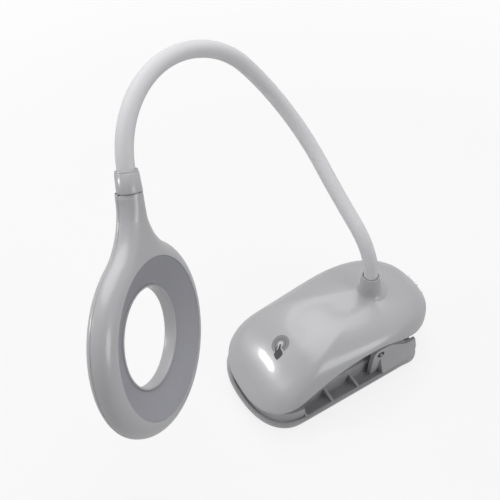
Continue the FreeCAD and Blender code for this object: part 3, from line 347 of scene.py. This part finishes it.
# head
def head_outline(top, count=220):
    """Right half of the head's outline from the ring's foot up to the neck, with inward directions."""
    cx, cy = NECK_ROOT + BLEND, math.sqrt((RING + BLEND) ** 2 - (NECK_ROOT + BLEND) ** 2)
    meet = math.atan2(cy, cx)
    a = np.linspace(-np.pi / 2, meet, count)
    ring = np.stack([np.cos(a), np.sin(a)], -1)
    b = np.linspace(meet + np.pi, np.pi, count // 3)[1:]
    turn = np.stack([np.cos(b), np.sin(b)], -1)
    y = np.linspace(cy, top, 24)[1:]
    x = NECK_ROOT + (NECK_TOP - NECK_ROOT) * (y - cy) / (NECK - SOCKET - cy)
    line = np.concatenate([ring * RING, np.array([cx, cy]) + turn * BLEND, np.stack([x, y], -1)])
    inward = np.concatenate([-ring, turn, np.stack([np.full_like(y, -1.0), np.zeros_like(y)], -1)])
    return line, inward


def run_in(line, inward, circle):
    """How far each inward line runs until it meets the centre line or a circle about the ring's centre."""
    b = (line * inward).sum(-1)
    root = b ** 2 - (line ** 2).sum(-1) + circle ** 2
    to_circle = np.where(root > 0, -b - np.sqrt(np.maximum(root, 0)), np.inf)
    to_circle = np.where(to_circle > 0, to_circle, np.inf)
    to_middle = np.where(inward[:, 0] < -1e-6, line[:, 0] / np.maximum(-inward[:, 0], 1e-6), np.inf)
    return np.minimum(to_circle, np.where(line[:, 1] > 0, to_middle, np.inf))


def head_skin(circle, round_width, face, neck_face, top, steps=36):
    """Casing half: height edge + rise * sqrt(1-(1-d/w)^2) at distance d in from the outline.

    The edge stands back from the split by half the seam, and the first row is the seam's floor."""
    line, inward = head_outline(top)
    far = run_in(line, inward, circle)
    width = np.minimum(round_width, far)
    turn = np.linspace(0, np.pi / 2, steps)
    rest = np.linspace(0, 1, 10)[1:]
    rounded, flat = width[:, None] * (1 - np.cos(turn)), width[:, None] + (far - width)[:, None] * rest
    depth = np.concatenate([rounded, flat], 1)
    up = np.clip((line[:, 1] - DRAW_FROM) / DRAW_OVER, 0, 1)
    up = (up * up * (3 - 2 * up))[:, None]
    edge = SPLIT + math.copysign(SEAM, face - SPLIT)
    rise = face - edge + (neck_face - face) * up
    z = edge + rise * np.sqrt(np.clip(1 - (1 - np.minimum(depth / width[:, None], 1)) ** 2, 0, 1))
    plan = line[:, None] + inward[:, None] * depth[..., None]
    groove = np.concatenate([line + inward * SEAM_DEPTH, np.full((len(line), 1), SPLIT)], 1)[:, None]
    right = np.concatenate([groove, np.concatenate([plan, z[..., None]], -1)], 1)
    return right, right * np.array([-1.0, 1.0, 1.0])


# materials
def links(tree, *pairs):
    for a, b in pairs:
        tree.links.new(a, b)


def moulded_group():
    """Node group for moulded plastic: slow colour drift, uneven gloss and a fine moulding texture."""
    group = bpy.data.node_groups.get("moulded_surface")
    if group:
        return group
    group = bpy.data.node_groups.new("moulded_surface", "ShaderNodeTree")
    sockets = group.interface
    sockets.new_socket("Colour", in_out="INPUT", socket_type="NodeSocketColor")
    for label, value in (("Drift", 0.03), ("Roughness", 0.3), ("Unevenness", 0.06), ("Grain size", 900.0)):
        sockets.new_socket(label, in_out="INPUT", socket_type="NodeSocketFloat").default_value = value
    sockets.new_socket("Colour", in_out="OUTPUT", socket_type="NodeSocketColor")
    for label in ("Roughness", "Height"):
        sockets.new_socket(label, in_out="OUTPUT", socket_type="NodeSocketFloat")
    nodes = group.nodes
    come, go = nodes.new("NodeGroupInput"), nodes.new("NodeGroupOutput")
    where = nodes.new("ShaderNodeTexCoord")
    slow, fine = nodes.new("ShaderNodeTexNoise"), nodes.new("ShaderNodeTexNoise")
    slow.inputs["Scale"].default_value = 22.0
    slow.inputs["Detail"].default_value = 4.0
    fine.inputs["Detail"].default_value = 3.0
    drift = nodes.new("ShaderNodeMath")
    drift.operation = "MULTIPLY_ADD"
    share = nodes.new("ShaderNodeMath")
    share.operation = "SUBTRACT"
    share.inputs[1].default_value = 0.5
    value = nodes.new("ShaderNodeHueSaturation")
    drift.inputs[2].default_value = 1.0
    gloss = nodes.new("ShaderNodeMath")
    gloss.operation = "MULTIPLY_ADD"
    links(group, (where.outputs["Object"], slow.inputs["Vector"]),
          (where.outputs["Object"], fine.inputs["Vector"]),
          (come.outputs["Grain size"], fine.inputs["Scale"]), (slow.outputs["Fac"], share.inputs[0]),
          (share.outputs[0], drift.inputs[0]), (come.outputs["Drift"], drift.inputs[1]),
          (drift.outputs[0], value.inputs["Value"]), (come.outputs["Colour"], value.inputs["Color"]),
          (value.outputs["Color"], go.inputs["Colour"]), (share.outputs[0], gloss.inputs[0]),
          (come.outputs["Unevenness"], gloss.inputs[1]), (come.outputs["Roughness"], gloss.inputs[2]),
          (gloss.outputs[0], go.inputs["Roughness"]), (fine.outputs["Fac"], go.inputs["Height"]))
    return group


def finish(name, colour, roughness, drift=0.03, uneven=0.06, grain=900.0, bump=0.02, metallic=0.0,
           coat=0.0, specular=0.5, subsurface=0.0):
    """A material: the moulded group feeds colour, roughness and bump of one Principled shader."""
    material = bpy.data.materials.get(name)
    if material:
        return material
    material = bpy.data.materials.new(name)
    material.use_nodes = True
    tree = material.node_tree
    shader = tree.nodes["Principled BSDF"]
    skin = tree.nodes.new("ShaderNodeGroup")
    skin.node_tree = moulded_group()
    skin.inputs["Colour"].default_value = (*colour, 1.0)
    skin.inputs["Drift"].default_value = drift
    skin.inputs["Roughness"].default_value = roughness
    skin.inputs["Unevenness"].default_value = uneven
    skin.inputs["Grain size"].default_value = grain
    bumps = tree.nodes.new("ShaderNodeBump")
    bumps.inputs["Strength"].default_value = bump
    bumps.inputs["Distance"].default_value = 0.0004
    links(tree, (skin.outputs["Colour"], shader.inputs["Base Color"]),
          (skin.outputs["Roughness"], shader.inputs["Roughness"]),
          (skin.outputs["Height"], bumps.inputs["Height"]),
          (bumps.outputs["Normal"], shader.inputs["Normal"]))
    shader.inputs["Metallic"].default_value = metallic
    shader.inputs["Coat Weight"].default_value = coat
    shader.inputs["Coat Roughness"].default_value = 0.08
    shader.inputs["Specular IOR Level"].default_value = specular
    shader.inputs["Subsurface Weight"].default_value = subsurface
    shader.inputs["Subsurface Scale"].default_value = 0.002
    return material


class LampSizes(bpy.types.PropertyGroup):
    """Small sizes of the dressed lamp."""
    sleeve_radius: FloatProperty(
        name="Sleeve radius", description="Outer radius of the arm's sleeve, in millimetres",
        default=3.99, min=3.0, max=4.2)
    bend_reach: FloatProperty(
        name="Bend reach", description="Length of sleeve on each side of a joint that bends, in millimetres",
        default=9.0, min=4.0, max=17.0)
    edge_round: FloatProperty(
        name="Edge rounding", description="Rounding of the edges of jaw and cover, in millimetres",
        default=0.35, min=0.05, max=0.8)
    mark_radius: FloatProperty(
        name="Touch mark radius", description="Radius of the printed touch mark, in millimetres",
        default=4.9, min=3.0, max=9.0)


class LampFinish(bpy.types.PropertyGroup):
    """Colours of the lamp."""
    shell: FloatVectorProperty(
        name="Shell", description="Pale grey of the shell and head", subtype="COLOR", size=3,
        default=(0.46, 0.46, 0.475), min=0, max=1)
    jaw: FloatVectorProperty(
        name="Jaw", description="Grey of the lower jaw", subtype="COLOR", size=3,
        default=(0.46, 0.46, 0.475), min=0, max=1)
    sleeve: FloatVectorProperty(
        name="Sleeve", description="Grey of the arm's soft sleeve", subtype="COLOR", size=3,
        default=(0.25, 0.25, 0.26), min=0, max=1)
    diffuser: FloatVectorProperty(
        name="Diffuser", description="Grey of the frosted diffuser", subtype="COLOR", size=3,
        default=(0.33, 0.33, 0.36), min=0, max=1)
    ink: FloatVectorProperty(
        name="Mark", description="Dark grey of the printed mark", subtype="COLOR", size=3,
        default=(0.05, 0.05, 0.053), min=0, max=1)


def sizes():
    return bpy.context.scene.lamp_sizes


def shell_finish():
    return finish("shell_gloss", bpy.context.scene.lamp_finish.shell, 0.3, bump=0.012, coat=0.25)


def jaw_finish():
    return finish("jaw_satin", bpy.context.scene.lamp_finish.jaw, 0.36, bump=0.02)


def sleeve_finish():
    return finish("sleeve_silicone", bpy.context.scene.lamp_finish.sleeve, 0.48, uneven=0.1, grain=1400.0,
                  bump=0.05, specular=0.3)


class LAMP_OT_finishes(bpy.types.Operator):
    """Gives every carried-over piece a finish of its own"""
    bl_idname = "lamp.finishes"
    bl_label = "Finishes"

    def execute(self, context):
        steel = finish("bright_steel", (0.55, 0.55, 0.56), 0.3, drift=0.08, uneven=0.2, grain=2500.0,
                       bump=0.05, metallic=1.0)
        spring = finish("spring_wire", (0.36, 0.36, 0.37), 0.34, drift=0.1, uneven=0.2, grain=2000.0,
                        bump=0.05, metallic=1.0)
        board = finish("board_green", (0.02, 0.10, 0.04), 0.42, drift=0.2, uneven=0.15, grain=700.0,
                       bump=0.06)
        rubber = finish("grip_rubber", (0.17, 0.17, 0.18), 0.72, uneven=0.12, grain=1600.0, bump=0.2)
        copper = finish("lead_copper", (0.60, 0.28, 0.12), 0.35, drift=0.1, grain=2000.0, bump=0.04,
                        metallic=1.0)
        chips = finish("chip_black", (0.015, 0.015, 0.017), 0.4, grain=2500.0, bump=0.1)
        cell = finish("cell_wrap", (0.10, 0.22, 0.42), 0.35, drift=0.06, grain=800.0, bump=0.03)
        led = finish("led_phosphor", (0.85, 0.66, 0.16), 0.4, drift=0.05, grain=3000.0, bump=0.05)
        brass = finish("contact_brass", (0.62, 0.47, 0.2), 0.3, drift=0.08, grain=2000.0, bump=0.04,
                       metallic=1.0)
        # near black, for the rings round the pin ends: painted shade of the pin's hole
        finish("painted_hole_shade", (0.03, 0.03, 0.032), 0.5, grain=2500.0, bump=0.05)
        lens = finish("signal_lens", (0.75, 0.76, 0.78), 0.15, bump=0.01)
        diffuser = finish("diffuser_frost", context.scene.lamp_finish.diffuser, 0.55, drift=0.05, uneven=0.08,
                          grain=2600.0, bump=0.06, subsurface=0.2)
        by_slot = {"shell_plastic": shell_finish(), "head_plastic": shell_finish(),
                   "jaw_plastic": jaw_finish(), "grip_rubber": rubber, "steel": steel,
                   "spring_steel": spring, "cell_case": cell, "circuit_board": board, "chips": chips,
                   "contact_metal": brass, "signal_lens": lens, "sleeve_silicone": sleeve_finish(),
                   "spine_steel": spring, "lead_copper": copper, "diffuser_plastic": diffuser,
                   "led_chip": led}
        for part in frame["record"]["subparts"]:
            obj = frame["nodes"][part["node"]]
            obj.data.materials.clear()
            obj.data.materials.append(by_slot[part["material_slot"]])
        return {"FINISHED"}


class LAMP_OT_shell(bpy.types.Operator):
    """Domed shell of the base with its arched rim, the arm's collar and the charging port's frame"""
    bl_idname = "lamp.shell"
    bl_label = "Shell"

    def execute(self, context):
        angle = np.linspace(0, 2 * np.pi, SHELL_SIDES, endpoint=False)
        foot = np.arccos(np.clip((ARM_OPENING / plan_reach(angle, 0.0)) ** (mixed(angle, BULGE) / 2), 0, 1))
        start = rim_start(angle, rise=RIM_ROUND)
        outer = np.stack([dome_points(angle, start + (foot - start) * s)
                          for s in np.linspace(0, 1, SHELL_ROWS) ** SHELL_CROWD], 1)
        inner_start = rim_start(angle, SHELL_WALL, INNER_DROP, RIM_ROUND)
        inner_way = INNER_ANGLE - inner_start
        inner = np.stack([dome_points(angle, inner_start + inner_way * s, SHELL_WALL, INNER_DROP)
                          for s in np.linspace(INNER_SHARE, 0, 8)], 1)
        edge_out, edge_in = outer[:, 0], inner[:, -1]
        middle, half = (edge_out + edge_in) / 2, (edge_out - edge_in) / 2
        low = np.array([0.0, 0.0, -RIM_ROUND])
        edge = np.stack([middle + half * -np.cos(a) + low * np.sin(a)
                         for a in np.linspace(0, np.pi, 9)[1:-1]], 1)

        def keep(c):
            across = np.abs(c[:, 0]) < PORT_HALF - PORT_TRIM
            within = np.abs(c[:, 2] - PORT_Z) < PORT_TALL - PORT_TRIM / 2
            return ~(across & within & (c[:, 1] > PORT_CUT))

        grid = np.concatenate([inner, edge, outer], 1)
        shell = surface("shell_dome", [(grid, True, False)], shell_finish(), keep)
        carried(shell, "base", "shell_plastic", "top_shell")
        flare = eased([(r, z + CROWN_Z - COLLAR_TOP) for r, z in COLLAR_FLARE], 10)
        grid = on_collar(lathe(np.concatenate([flare, COLLAR_RIM])))
        collar = surface("arm_collar", [(grid, True, False)], shell_finish())
        carried(collar, "base", "shell_plastic")
        self.port()
        return {"FINISHED"}

    def port(self):
        """Frame of the charging port, each row laid on the shell's rear face by halving."""
        a = np.linspace(0, 2 * np.pi, PORT_SIDES, endpoint=False)
        px = PORT_HALF * np.sign(np.cos(a)) * np.abs(np.cos(a)) ** PORT_POWER
        pz = PORT_TALL * np.sign(np.sin(a)) * np.abs(np.sin(a)) ** PORT_POWER
        rows = []
        for size, out in PORT_ROWS:
            x, z = px * (1 + (size - 1) * PORT_WIDEN), PORT_Z + pz * (1 + (size - 1) * PORT_HEIGHTEN)
            low, high = (np.full_like(x, y) for y in PORT_SPAN)
            for _ in range(HALVINGS):
                mid = (low + high) / 2
                above = dome_height(x, mid) > z
                low, high = np.where(above, mid, low), np.where(above, high, mid)
            rows.append(np.stack([x, low + out, z], -1))
        bezel = surface("port_frame", [(np.stack(rows, 1), True, False)], shell_finish())
        carried(bezel, "base", "shell_plastic")


class LAMP_OT_mark(bpy.types.Operator):
    """Printed touch mark on the nose: soft rings with a pointing finger"""
    bl_idname = "lamp.mark"
    bl_label = "Touch mark"

    def execute(self, context):
        radius = sizes().mark_radius
        ink = finish("mark_ink", context.scene.lamp_finish.ink, 0.5, grain=2000.0)
        finish("mark_pale", (0.56, 0.56, 0.57), 0.4, grain=2000.0)
        finish("mark_dark", (0.15, 0.15, 0.16), 0.45, grain=2000.0)
        finish("mark_shade", (0.24, 0.24, 0.25), 0.45, grain=2000.0)

        def laid(plan, lift):
            x, y = plan[..., 0] + MARK_AT[0], plan[..., 1] + MARK_AT[1]
            return np.stack([x, y, dome_height(x, y) + lift], -1)

        def clear_of_hand(c):
            spot = (c[:, :2] - MARK_AT) / radius
            along, across = -spot @ FINGER, spot @ ACROSS
            finger = (along > FIELD_TIP) & (along < FIELD_END) & (np.abs(across) < FIELD_HALF)
            long, wide = np.abs((along - PALM_AT) / FIELD_LONG), np.abs(across / FIELD_WIDE)
            return ~(finger | (long ** FIELD_POWER + wide ** FIELD_POWER < 1))

        a = np.linspace(0, 2 * np.pi, MARK_SIDES, endpoint=False)[:, None]
        circle = np.concatenate([np.cos(a), np.sin(a)], 1)
        for name, low, high, material in MARK_BANDS:
            grid = circle[:, None] * (np.linspace(low, high, MARK_ROWS) * radius)[None, :, None]
            keep = None if name == "touch_halo" else clear_of_hand
            piece = surface(name, [(laid(grid, MARK_LIFT), True, False)], bpy.data.materials[material], keep)
            carried(piece, "base", "shell_plastic")
        run, side = np.linspace(0, 1, 40)[:, None], np.linspace(-1, 1, 9)[None, :]
        shapes = []
        for half, quick, flare, start, length, aside, lean in FINGERS:
            tip = np.sqrt(np.clip(1 - (1 - np.clip(run * quick, 0, 1)) ** 2, 0.0004, 1))
            along = start + length * run + 0 * side
            across = aside + lean * run + (half * tip + flare * run ** 3) * side
            shapes.append(along[..., None] * -FINGER + across[..., None] * ACROSS)
        power = (np.abs(np.cos(a)) ** PALM_POWER + np.abs(np.sin(a)) ** PALM_POWER) ** (-1 / PALM_POWER)
        palm = np.concatenate([power * np.cos(a) * PALM_LONG, power * np.sin(a) * PALM_WIDE], 1)
        palm = palm[:, None] * np.linspace(0.02, 1, 12)[None, :, None]
        shapes.append((palm[..., :1] + PALM_AT) * -FINGER + palm[..., 1:] * ACROSS)
        grids = [(laid(shape * radius, 2 * MARK_LIFT + 0.01 * k), k == 2, False)
                 for k, shape in enumerate(shapes)]
        carried(surface("touch_hand", grids, ink), "base", "shell_plastic")
        return {"FINISHED"}


class LAMP_OT_arm(bpy.types.Operator):
    """Soft sleeve of the arm, from the middle of one arc to the middle of the next"""
    bl_idname = "lamp.arm"
    bl_label = "Arm sleeve"

    def execute(self, context):
        last = len(ARCS) - 1

        def along(s):
            """Points of the arm's centre line at distances s from the collar's rim."""
            s = np.asarray(s, float)
            out = np.zeros((len(s), 3))
            for k, (tip, way, side, curve) in enumerate(ARCS):
                low, high = -np.inf if k == 0 else k * ARC, np.inf if k == last else (k + 1) * ARC
                local = np.clip(s - k * ARC, 0, ARC)[:, None]
                p = tip + np.sin(curve * local) / curve * way + (1 - np.cos(curve * local)) / curve * side
                p = p + np.minimum(s - k * ARC, 0)[:, None] * way * (k == 0)
                p = p + np.maximum(s - (last + 1) * ARC, 0)[:, None] * ARM_WAY * (k == last)
                use = (s >= low) & (s < high)
                out[use] = p[use]
            return out

        ends = [-SLEEVE_SINK] + [(k + 0.5) * ARC for k in range(last + 1)] + [(last + 1) * ARC + SLEEVE_SINK]
        place = [np.linspace(a, b, SLEEVE_ROWS)[:-1] for a, b in zip(ends, ends[1:])] + [ends[-1:]]
        whole = tube(along(np.concatenate(place)), sizes().sleeve_radius, SLEEVE_SIDES)
        step, reach = SLEEVE_ROWS - 1, sizes().bend_reach
        for k in range(last + 2):
            grid = whole[step * k:step * k + SLEEVE_ROWS]
            piece = surface("sleeve_%d" % (k + 1), [(grid, False, True)], sleeve_finish())
            if k == 0:
                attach(piece, "base")
            elif k == last + 1:
                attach(piece, "head")
            else:
                a, b = along([k * ARC - reach, k * ARC + reach])
                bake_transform(piece)
            if k <= last:
                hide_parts("arm_sleeve_%d" % (k + 1))
        return {"FINISHED"}


class LAMP_OT_head(bpy.types.Operator):
    """Casing of the ring-shaped head: front, back with the hole's wall, and the neck's socket"""
    bl_idname = "lamp.head"
    bl_label = "Head casing"

    def execute(self, context):
        seat = NECK - SOCKET
        right, left = head_skin(LENS, RING - LENS, FACE, NECK_TOP, seat)
        front = [(on_head(half), False, False) for half in (right, left)]
        front.append((on_head(lathe(LENS_RIM, HEAD_SIDES)), True, False))
        right, left = head_skin(HOLE_BACK, BACK_ROUND, BACK, -NECK_TOP, seat + SEAM_COVER)
        back = [(on_head(half), False, False) for half in (right, left)]
        back.append((on_head(lathe(HOLE_WALL, HEAD_SIDES)), True, False))
        neck = []
        for profile, squash in ((NECK_CUFF, 1.0), (NECK_CAP, 0.99)):
            ring = lathe(profile, NECK_SIDES)
            ring = np.stack([ring[..., 0], ring[..., 2] + seat, -ring[..., 1] * squash], -1)
            neck.append((on_head(ring), True, False))
        for name, grids, nodes in (("casing_front", front, ("head_front",)),
                                   ("casing_back", back, ("head_back",)), ("neck_socket", neck, ())):
            carried(surface(name, grids, shell_finish()), "head", "head_plastic", *nodes)
        return {"FINISHED"}


class LAMP_OT_diffuser(bpy.types.Operator):
    """Dished frosted diffuser between the casing's rim and the lip of the hole"""
    bl_idname = "lamp.diffuser"
    bl_label = "Diffuser"

    def execute(self, context):
        grid = on_head(lathe(np.concatenate([eased(LENS_FACE), LENS_BACK]), HEAD_SIDES))
        piece = surface("diffuser_dish", [(grid, True, False)], bpy.data.materials["diffuser_frost"])
        carried(piece, "head", "diffuser_plastic", "diffuser")
        return {"FINISHED"}


class LAMP_OT_jaw(bpy.types.Operator):
    """Lower jaw and the cover above it with rounded edges, from the solids' own faces, and the pin's ends in
    rings of painted shade
    """
    bl_idname = "lamp.jaw"
    bl_label = "Lower jaw"

    def execute(self, context):
        for node, name, body, slot in (("lower_jaw", "jaw_moulding", "jaw", "jaw_plastic"),
                                       ("base_cover", "cover_moulding", "base", "shell_plastic")):
            mesh = frame["nodes"][node].data.copy()
            work = bmesh.new()
            work.from_mesh(mesh)
            bmesh.ops.remove_doubles(work, verts=work.verts, dist=1e-6)
            bmesh.ops.dissolve_limit(work, angle_limit=math.radians(1.0), verts=work.verts, edges=work.edges)
            bmesh.ops.recalc_face_normals(work, faces=work.faces)
            work.to_mesh(mesh)
            work.free()
            mesh.shade_smooth()
            mesh.materials.clear()
            mesh.materials.append(jaw_finish())
            obj = bpy.data.objects.new(name, mesh)
            context.scene.collection.objects.link(obj)
            bevel = obj.modifiers.new("rounding", "BEVEL")
            bevel.width = sizes().edge_round * MM
            bevel.segments = 2
            bevel.limit_method = "ANGLE"
            bevel.angle_limit = math.radians(40)
            weighted = obj.modifiers.new("even_shading", "WEIGHTED_NORMAL")
            weighted.keep_sharp = True
            carried(obj, body, slot, node)
        for side, word in ((1, "right"), (-1, "left")):
            # each pin end sits in a near-black ring of painted shade that stands in for its hole, then gets
            # its bright tip
            for name, profile, material in (("pin_shade_ring_", PIN_SHADE_RING, "painted_hole_shade"),
                                            ("pin_tip_", PIN_TIP, "bright_steel")):
                ring = lathe(profile, PIN_SIDES)
                x, y, z = side * (PIN_END + ring[..., 2]), PIN[1] + ring[..., 0], PIN[2] + ring[..., 1]
                grid = np.stack([x, y, z], -1)
                piece = surface(name + word, [(grid, True, True)], bpy.data.materials[material])
                carried(piece, "jaw", "steel")
        return {"FINISHED"}


class LAMP_OT_spring(bpy.types.Operator):
    """Torsion spring round the pivot pin, with one leg on the cover and one on the jaw's floor"""
    bl_idname = "lamp.spring"
    bl_label = "Torsion spring"

    def execute(self, context):
        upper = np.array([LEG_Y, float(rim_height(np.array(LEG_Y))) + UPPER_LEG - WIRE]) - PIN[1:]
        lower = np.array([LEG_Y, LOWER_LEG + WIRE]) - PIN[1:]

        def touch(end, sense):
            """Angle round the pin where a straight leg to an end touches the coil."""
            return math.atan2(end[1], end[0]) + sense * math.acos(COIL / np.linalg.norm(end))

        start, stop = touch(upper, 1), touch(lower, -1)
        total = (stop - start) % (2 * math.pi) + 2 * math.pi * COILS
        a = np.linspace(0, total, SPRING_ROWS)
        x = PITCH * (a - total / 2) / (2 * math.pi)
        wound = np.stack([x, PIN[1] + COIL * np.cos(start + a), PIN[2] + COIL * np.sin(start + a)], -1)
        first, last = np.append(x[0], upper + PIN[1:]), np.append(x[-1], lower + PIN[1:])
        share = np.linspace(0, 1, LEG_ROWS)[:-1, None]
        legs = first + (wound[0] - first) * share, wound[-1] + (last - wound[-1]) * (1 - share[::-1])
        path = np.concatenate([legs[0], wound, legs[1]])
        radius = np.full(len(path), WIRE)
        radius[0] = radius[-1] = WIRE_END
        grid = tube(path, radius, SPRING_SIDES)
        piece = surface("clip_spring", [(grid, False, True)], bpy.data.materials["spring_wire"])
        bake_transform(piece)
        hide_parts("torsion_spring")
        return {"FINISHED"}


class LAMP_OT_stage(bpy.types.Operator):
    """Pale floor, soft studio light and the camera"""
    bl_idname = "lamp.stage"
    bl_label = "Stage"

    def execute(self, context):
        scene = context.scene
        scene.view_settings.view_transform = "Standard"
        data = bpy.data.cameras.new("camera")
        data.sensor_fit = "HORIZONTAL"
        data.sensor_width = 36.0
        data.lens = 50.4
        data.clip_start = 0.01
        camera = bpy.data.objects.new("camera", data)
        right, up = (0.52184, 0.85305, 0.0), (-0.64302, 0.39336, 0.65712)
        back = (0.56055, -0.34291, 0.75376)
        turn = Matrix((right, up, back)).transposed().to_4x4()
        turn.translation = (0.1754, -0.1611, 0.3664)
        camera.matrix_world = turn
        scene.collection.objects.link(camera)
        scene.camera = camera
        mesh = bpy.data.meshes.new("floor")
        w = FLOOR_HALF
        mesh.from_pydata([(-w, -w, 0), (w, -w, 0), (w, w, 0), (-w, w, 0)], [], [(0, 1, 2, 3)])
        floor = bpy.data.objects.new("floor", mesh)
        floor.location.z = -FLOOR_DROP
        scene.collection.objects.link(floor)
        material = bpy.data.materials.new("floor_white")
        material.use_nodes = True
        tree = material.node_tree
        shader, out = tree.nodes["Principled BSDF"], tree.nodes["Material Output"]
        shader.inputs["Base Color"].default_value = (0.62, 0.62, 0.62, 1)
        shader.inputs["Roughness"].default_value = 0.9
        glow, mix, path, where, far, fade, share = (tree.nodes.new("ShaderNode" + kind) for kind in (
            "Emission", "MixShader", "LightPath", "TexCoord", "VectorMath", "MapRange", "Math"))
        glow.inputs["Strength"].default_value = 1.0
        far.operation = "LENGTH"
        share.operation = "MULTIPLY"
        for name, value in (("From Min", 0.25), ("From Max", 0.6), ("To Min", 0.84), ("To Max", 1.0)):
            fade.inputs[name].default_value = value
        links(tree, (where.outputs["Object"], far.inputs[0]), (far.outputs["Value"], fade.inputs["Value"]),
              (path.outputs["Is Camera Ray"], share.inputs[0]), (fade.outputs["Result"], share.inputs[1]),
              (share.outputs[0], mix.inputs[0]), (shader.outputs[0], mix.inputs[1]),
              (glow.outputs[0], mix.inputs[2]), (mix.outputs[0], out.inputs["Surface"]))
        mesh.materials.append(material)
        world = bpy.data.worlds.new("studio")
        scene.world = world
        world.use_nodes = True
        tree = world.node_tree
        fill = tree.nodes["Background"]
        fill.inputs["Color"].default_value = (1, 1, 1, 1)
        fill.inputs["Strength"].default_value = 0.27
        seen, mix, path = (tree.nodes.new("ShaderNode" + kind) for kind in (
            "Background", "MixShader", "LightPath"))
        seen.inputs["Color"].default_value = (1, 1, 1, 1)
        out = tree.nodes["World Output"]
        links(tree, (path.outputs["Is Camera Ray"], mix.inputs[0]), (fill.outputs[0], mix.inputs[1]),
              (seen.outputs[0], mix.inputs[2]), (mix.outputs[0], out.inputs["Surface"]))
        for name, place, size, power in LIGHTS:
            lamp = bpy.data.lights.new(name, "AREA")
            lamp.shape = "DISK"
            lamp.size = size
            lamp.energy = power
            obj = bpy.data.objects.new(name, lamp)
            z = unit(np.array(place) - LIGHT_AIM)
            x = unit(np.cross([0, 0, 1.0], z))
            m = Matrix((x, np.cross(z, x), z)).transposed().to_4x4()
            m.translation = place
            obj.matrix_world = m
            scene.collection.objects.link(obj)
        return {"FINISHED"}


class LAMP_PT_panel(bpy.types.Panel):
    """Lists the lamp's pieces and its colours"""
    bl_idname = "LAMP_PT_panel"
    bl_label = "Reading lamp"
    bl_space_type = "VIEW_3D"
    bl_region_type = "UI"
    bl_category = "Lamp"

    def draw(self, context):
        for operator in STEPS:
            self.layout.operator(operator.bl_idname)
        for group in (context.scene.lamp_sizes, context.scene.lamp_finish):
            for name in group.bl_rna.properties.keys():
                if name not in ("rna_type", "name"):
                    self.layout.prop(group, name)


STEPS = (LAMP_OT_finishes, LAMP_OT_shell, LAMP_OT_mark, LAMP_OT_arm, LAMP_OT_head, LAMP_OT_diffuser,
         LAMP_OT_jaw, LAMP_OT_spring, LAMP_OT_stage)
CLASSES = (LampSizes, LampFinish) + STEPS + (LAMP_PT_panel,)


def register():
    for cls in CLASSES:
        bpy.utils.register_class(cls)
    bpy.types.Scene.lamp_sizes = PointerProperty(type=LampSizes)
    bpy.types.Scene.lamp_finish = PointerProperty(type=LampFinish)


def unregister():
    del bpy.types.Scene.lamp_sizes
    del bpy.types.Scene.lamp_finish
    for cls in reversed(CLASSES):
        bpy.utils.unregister_class(cls)


def main():
    register()
    bpy.ops.lamp.finishes()
    bpy.ops.lamp.shell()
    bpy.ops.lamp.mark()
    bpy.ops.lamp.arm()
    bpy.ops.lamp.head()
    bpy.ops.lamp.diffuser()
    bpy.ops.lamp.jaw()
    bpy.ops.lamp.spring()
    bpy.ops.lamp.stage()


if __name__ == "__main__":
    main()
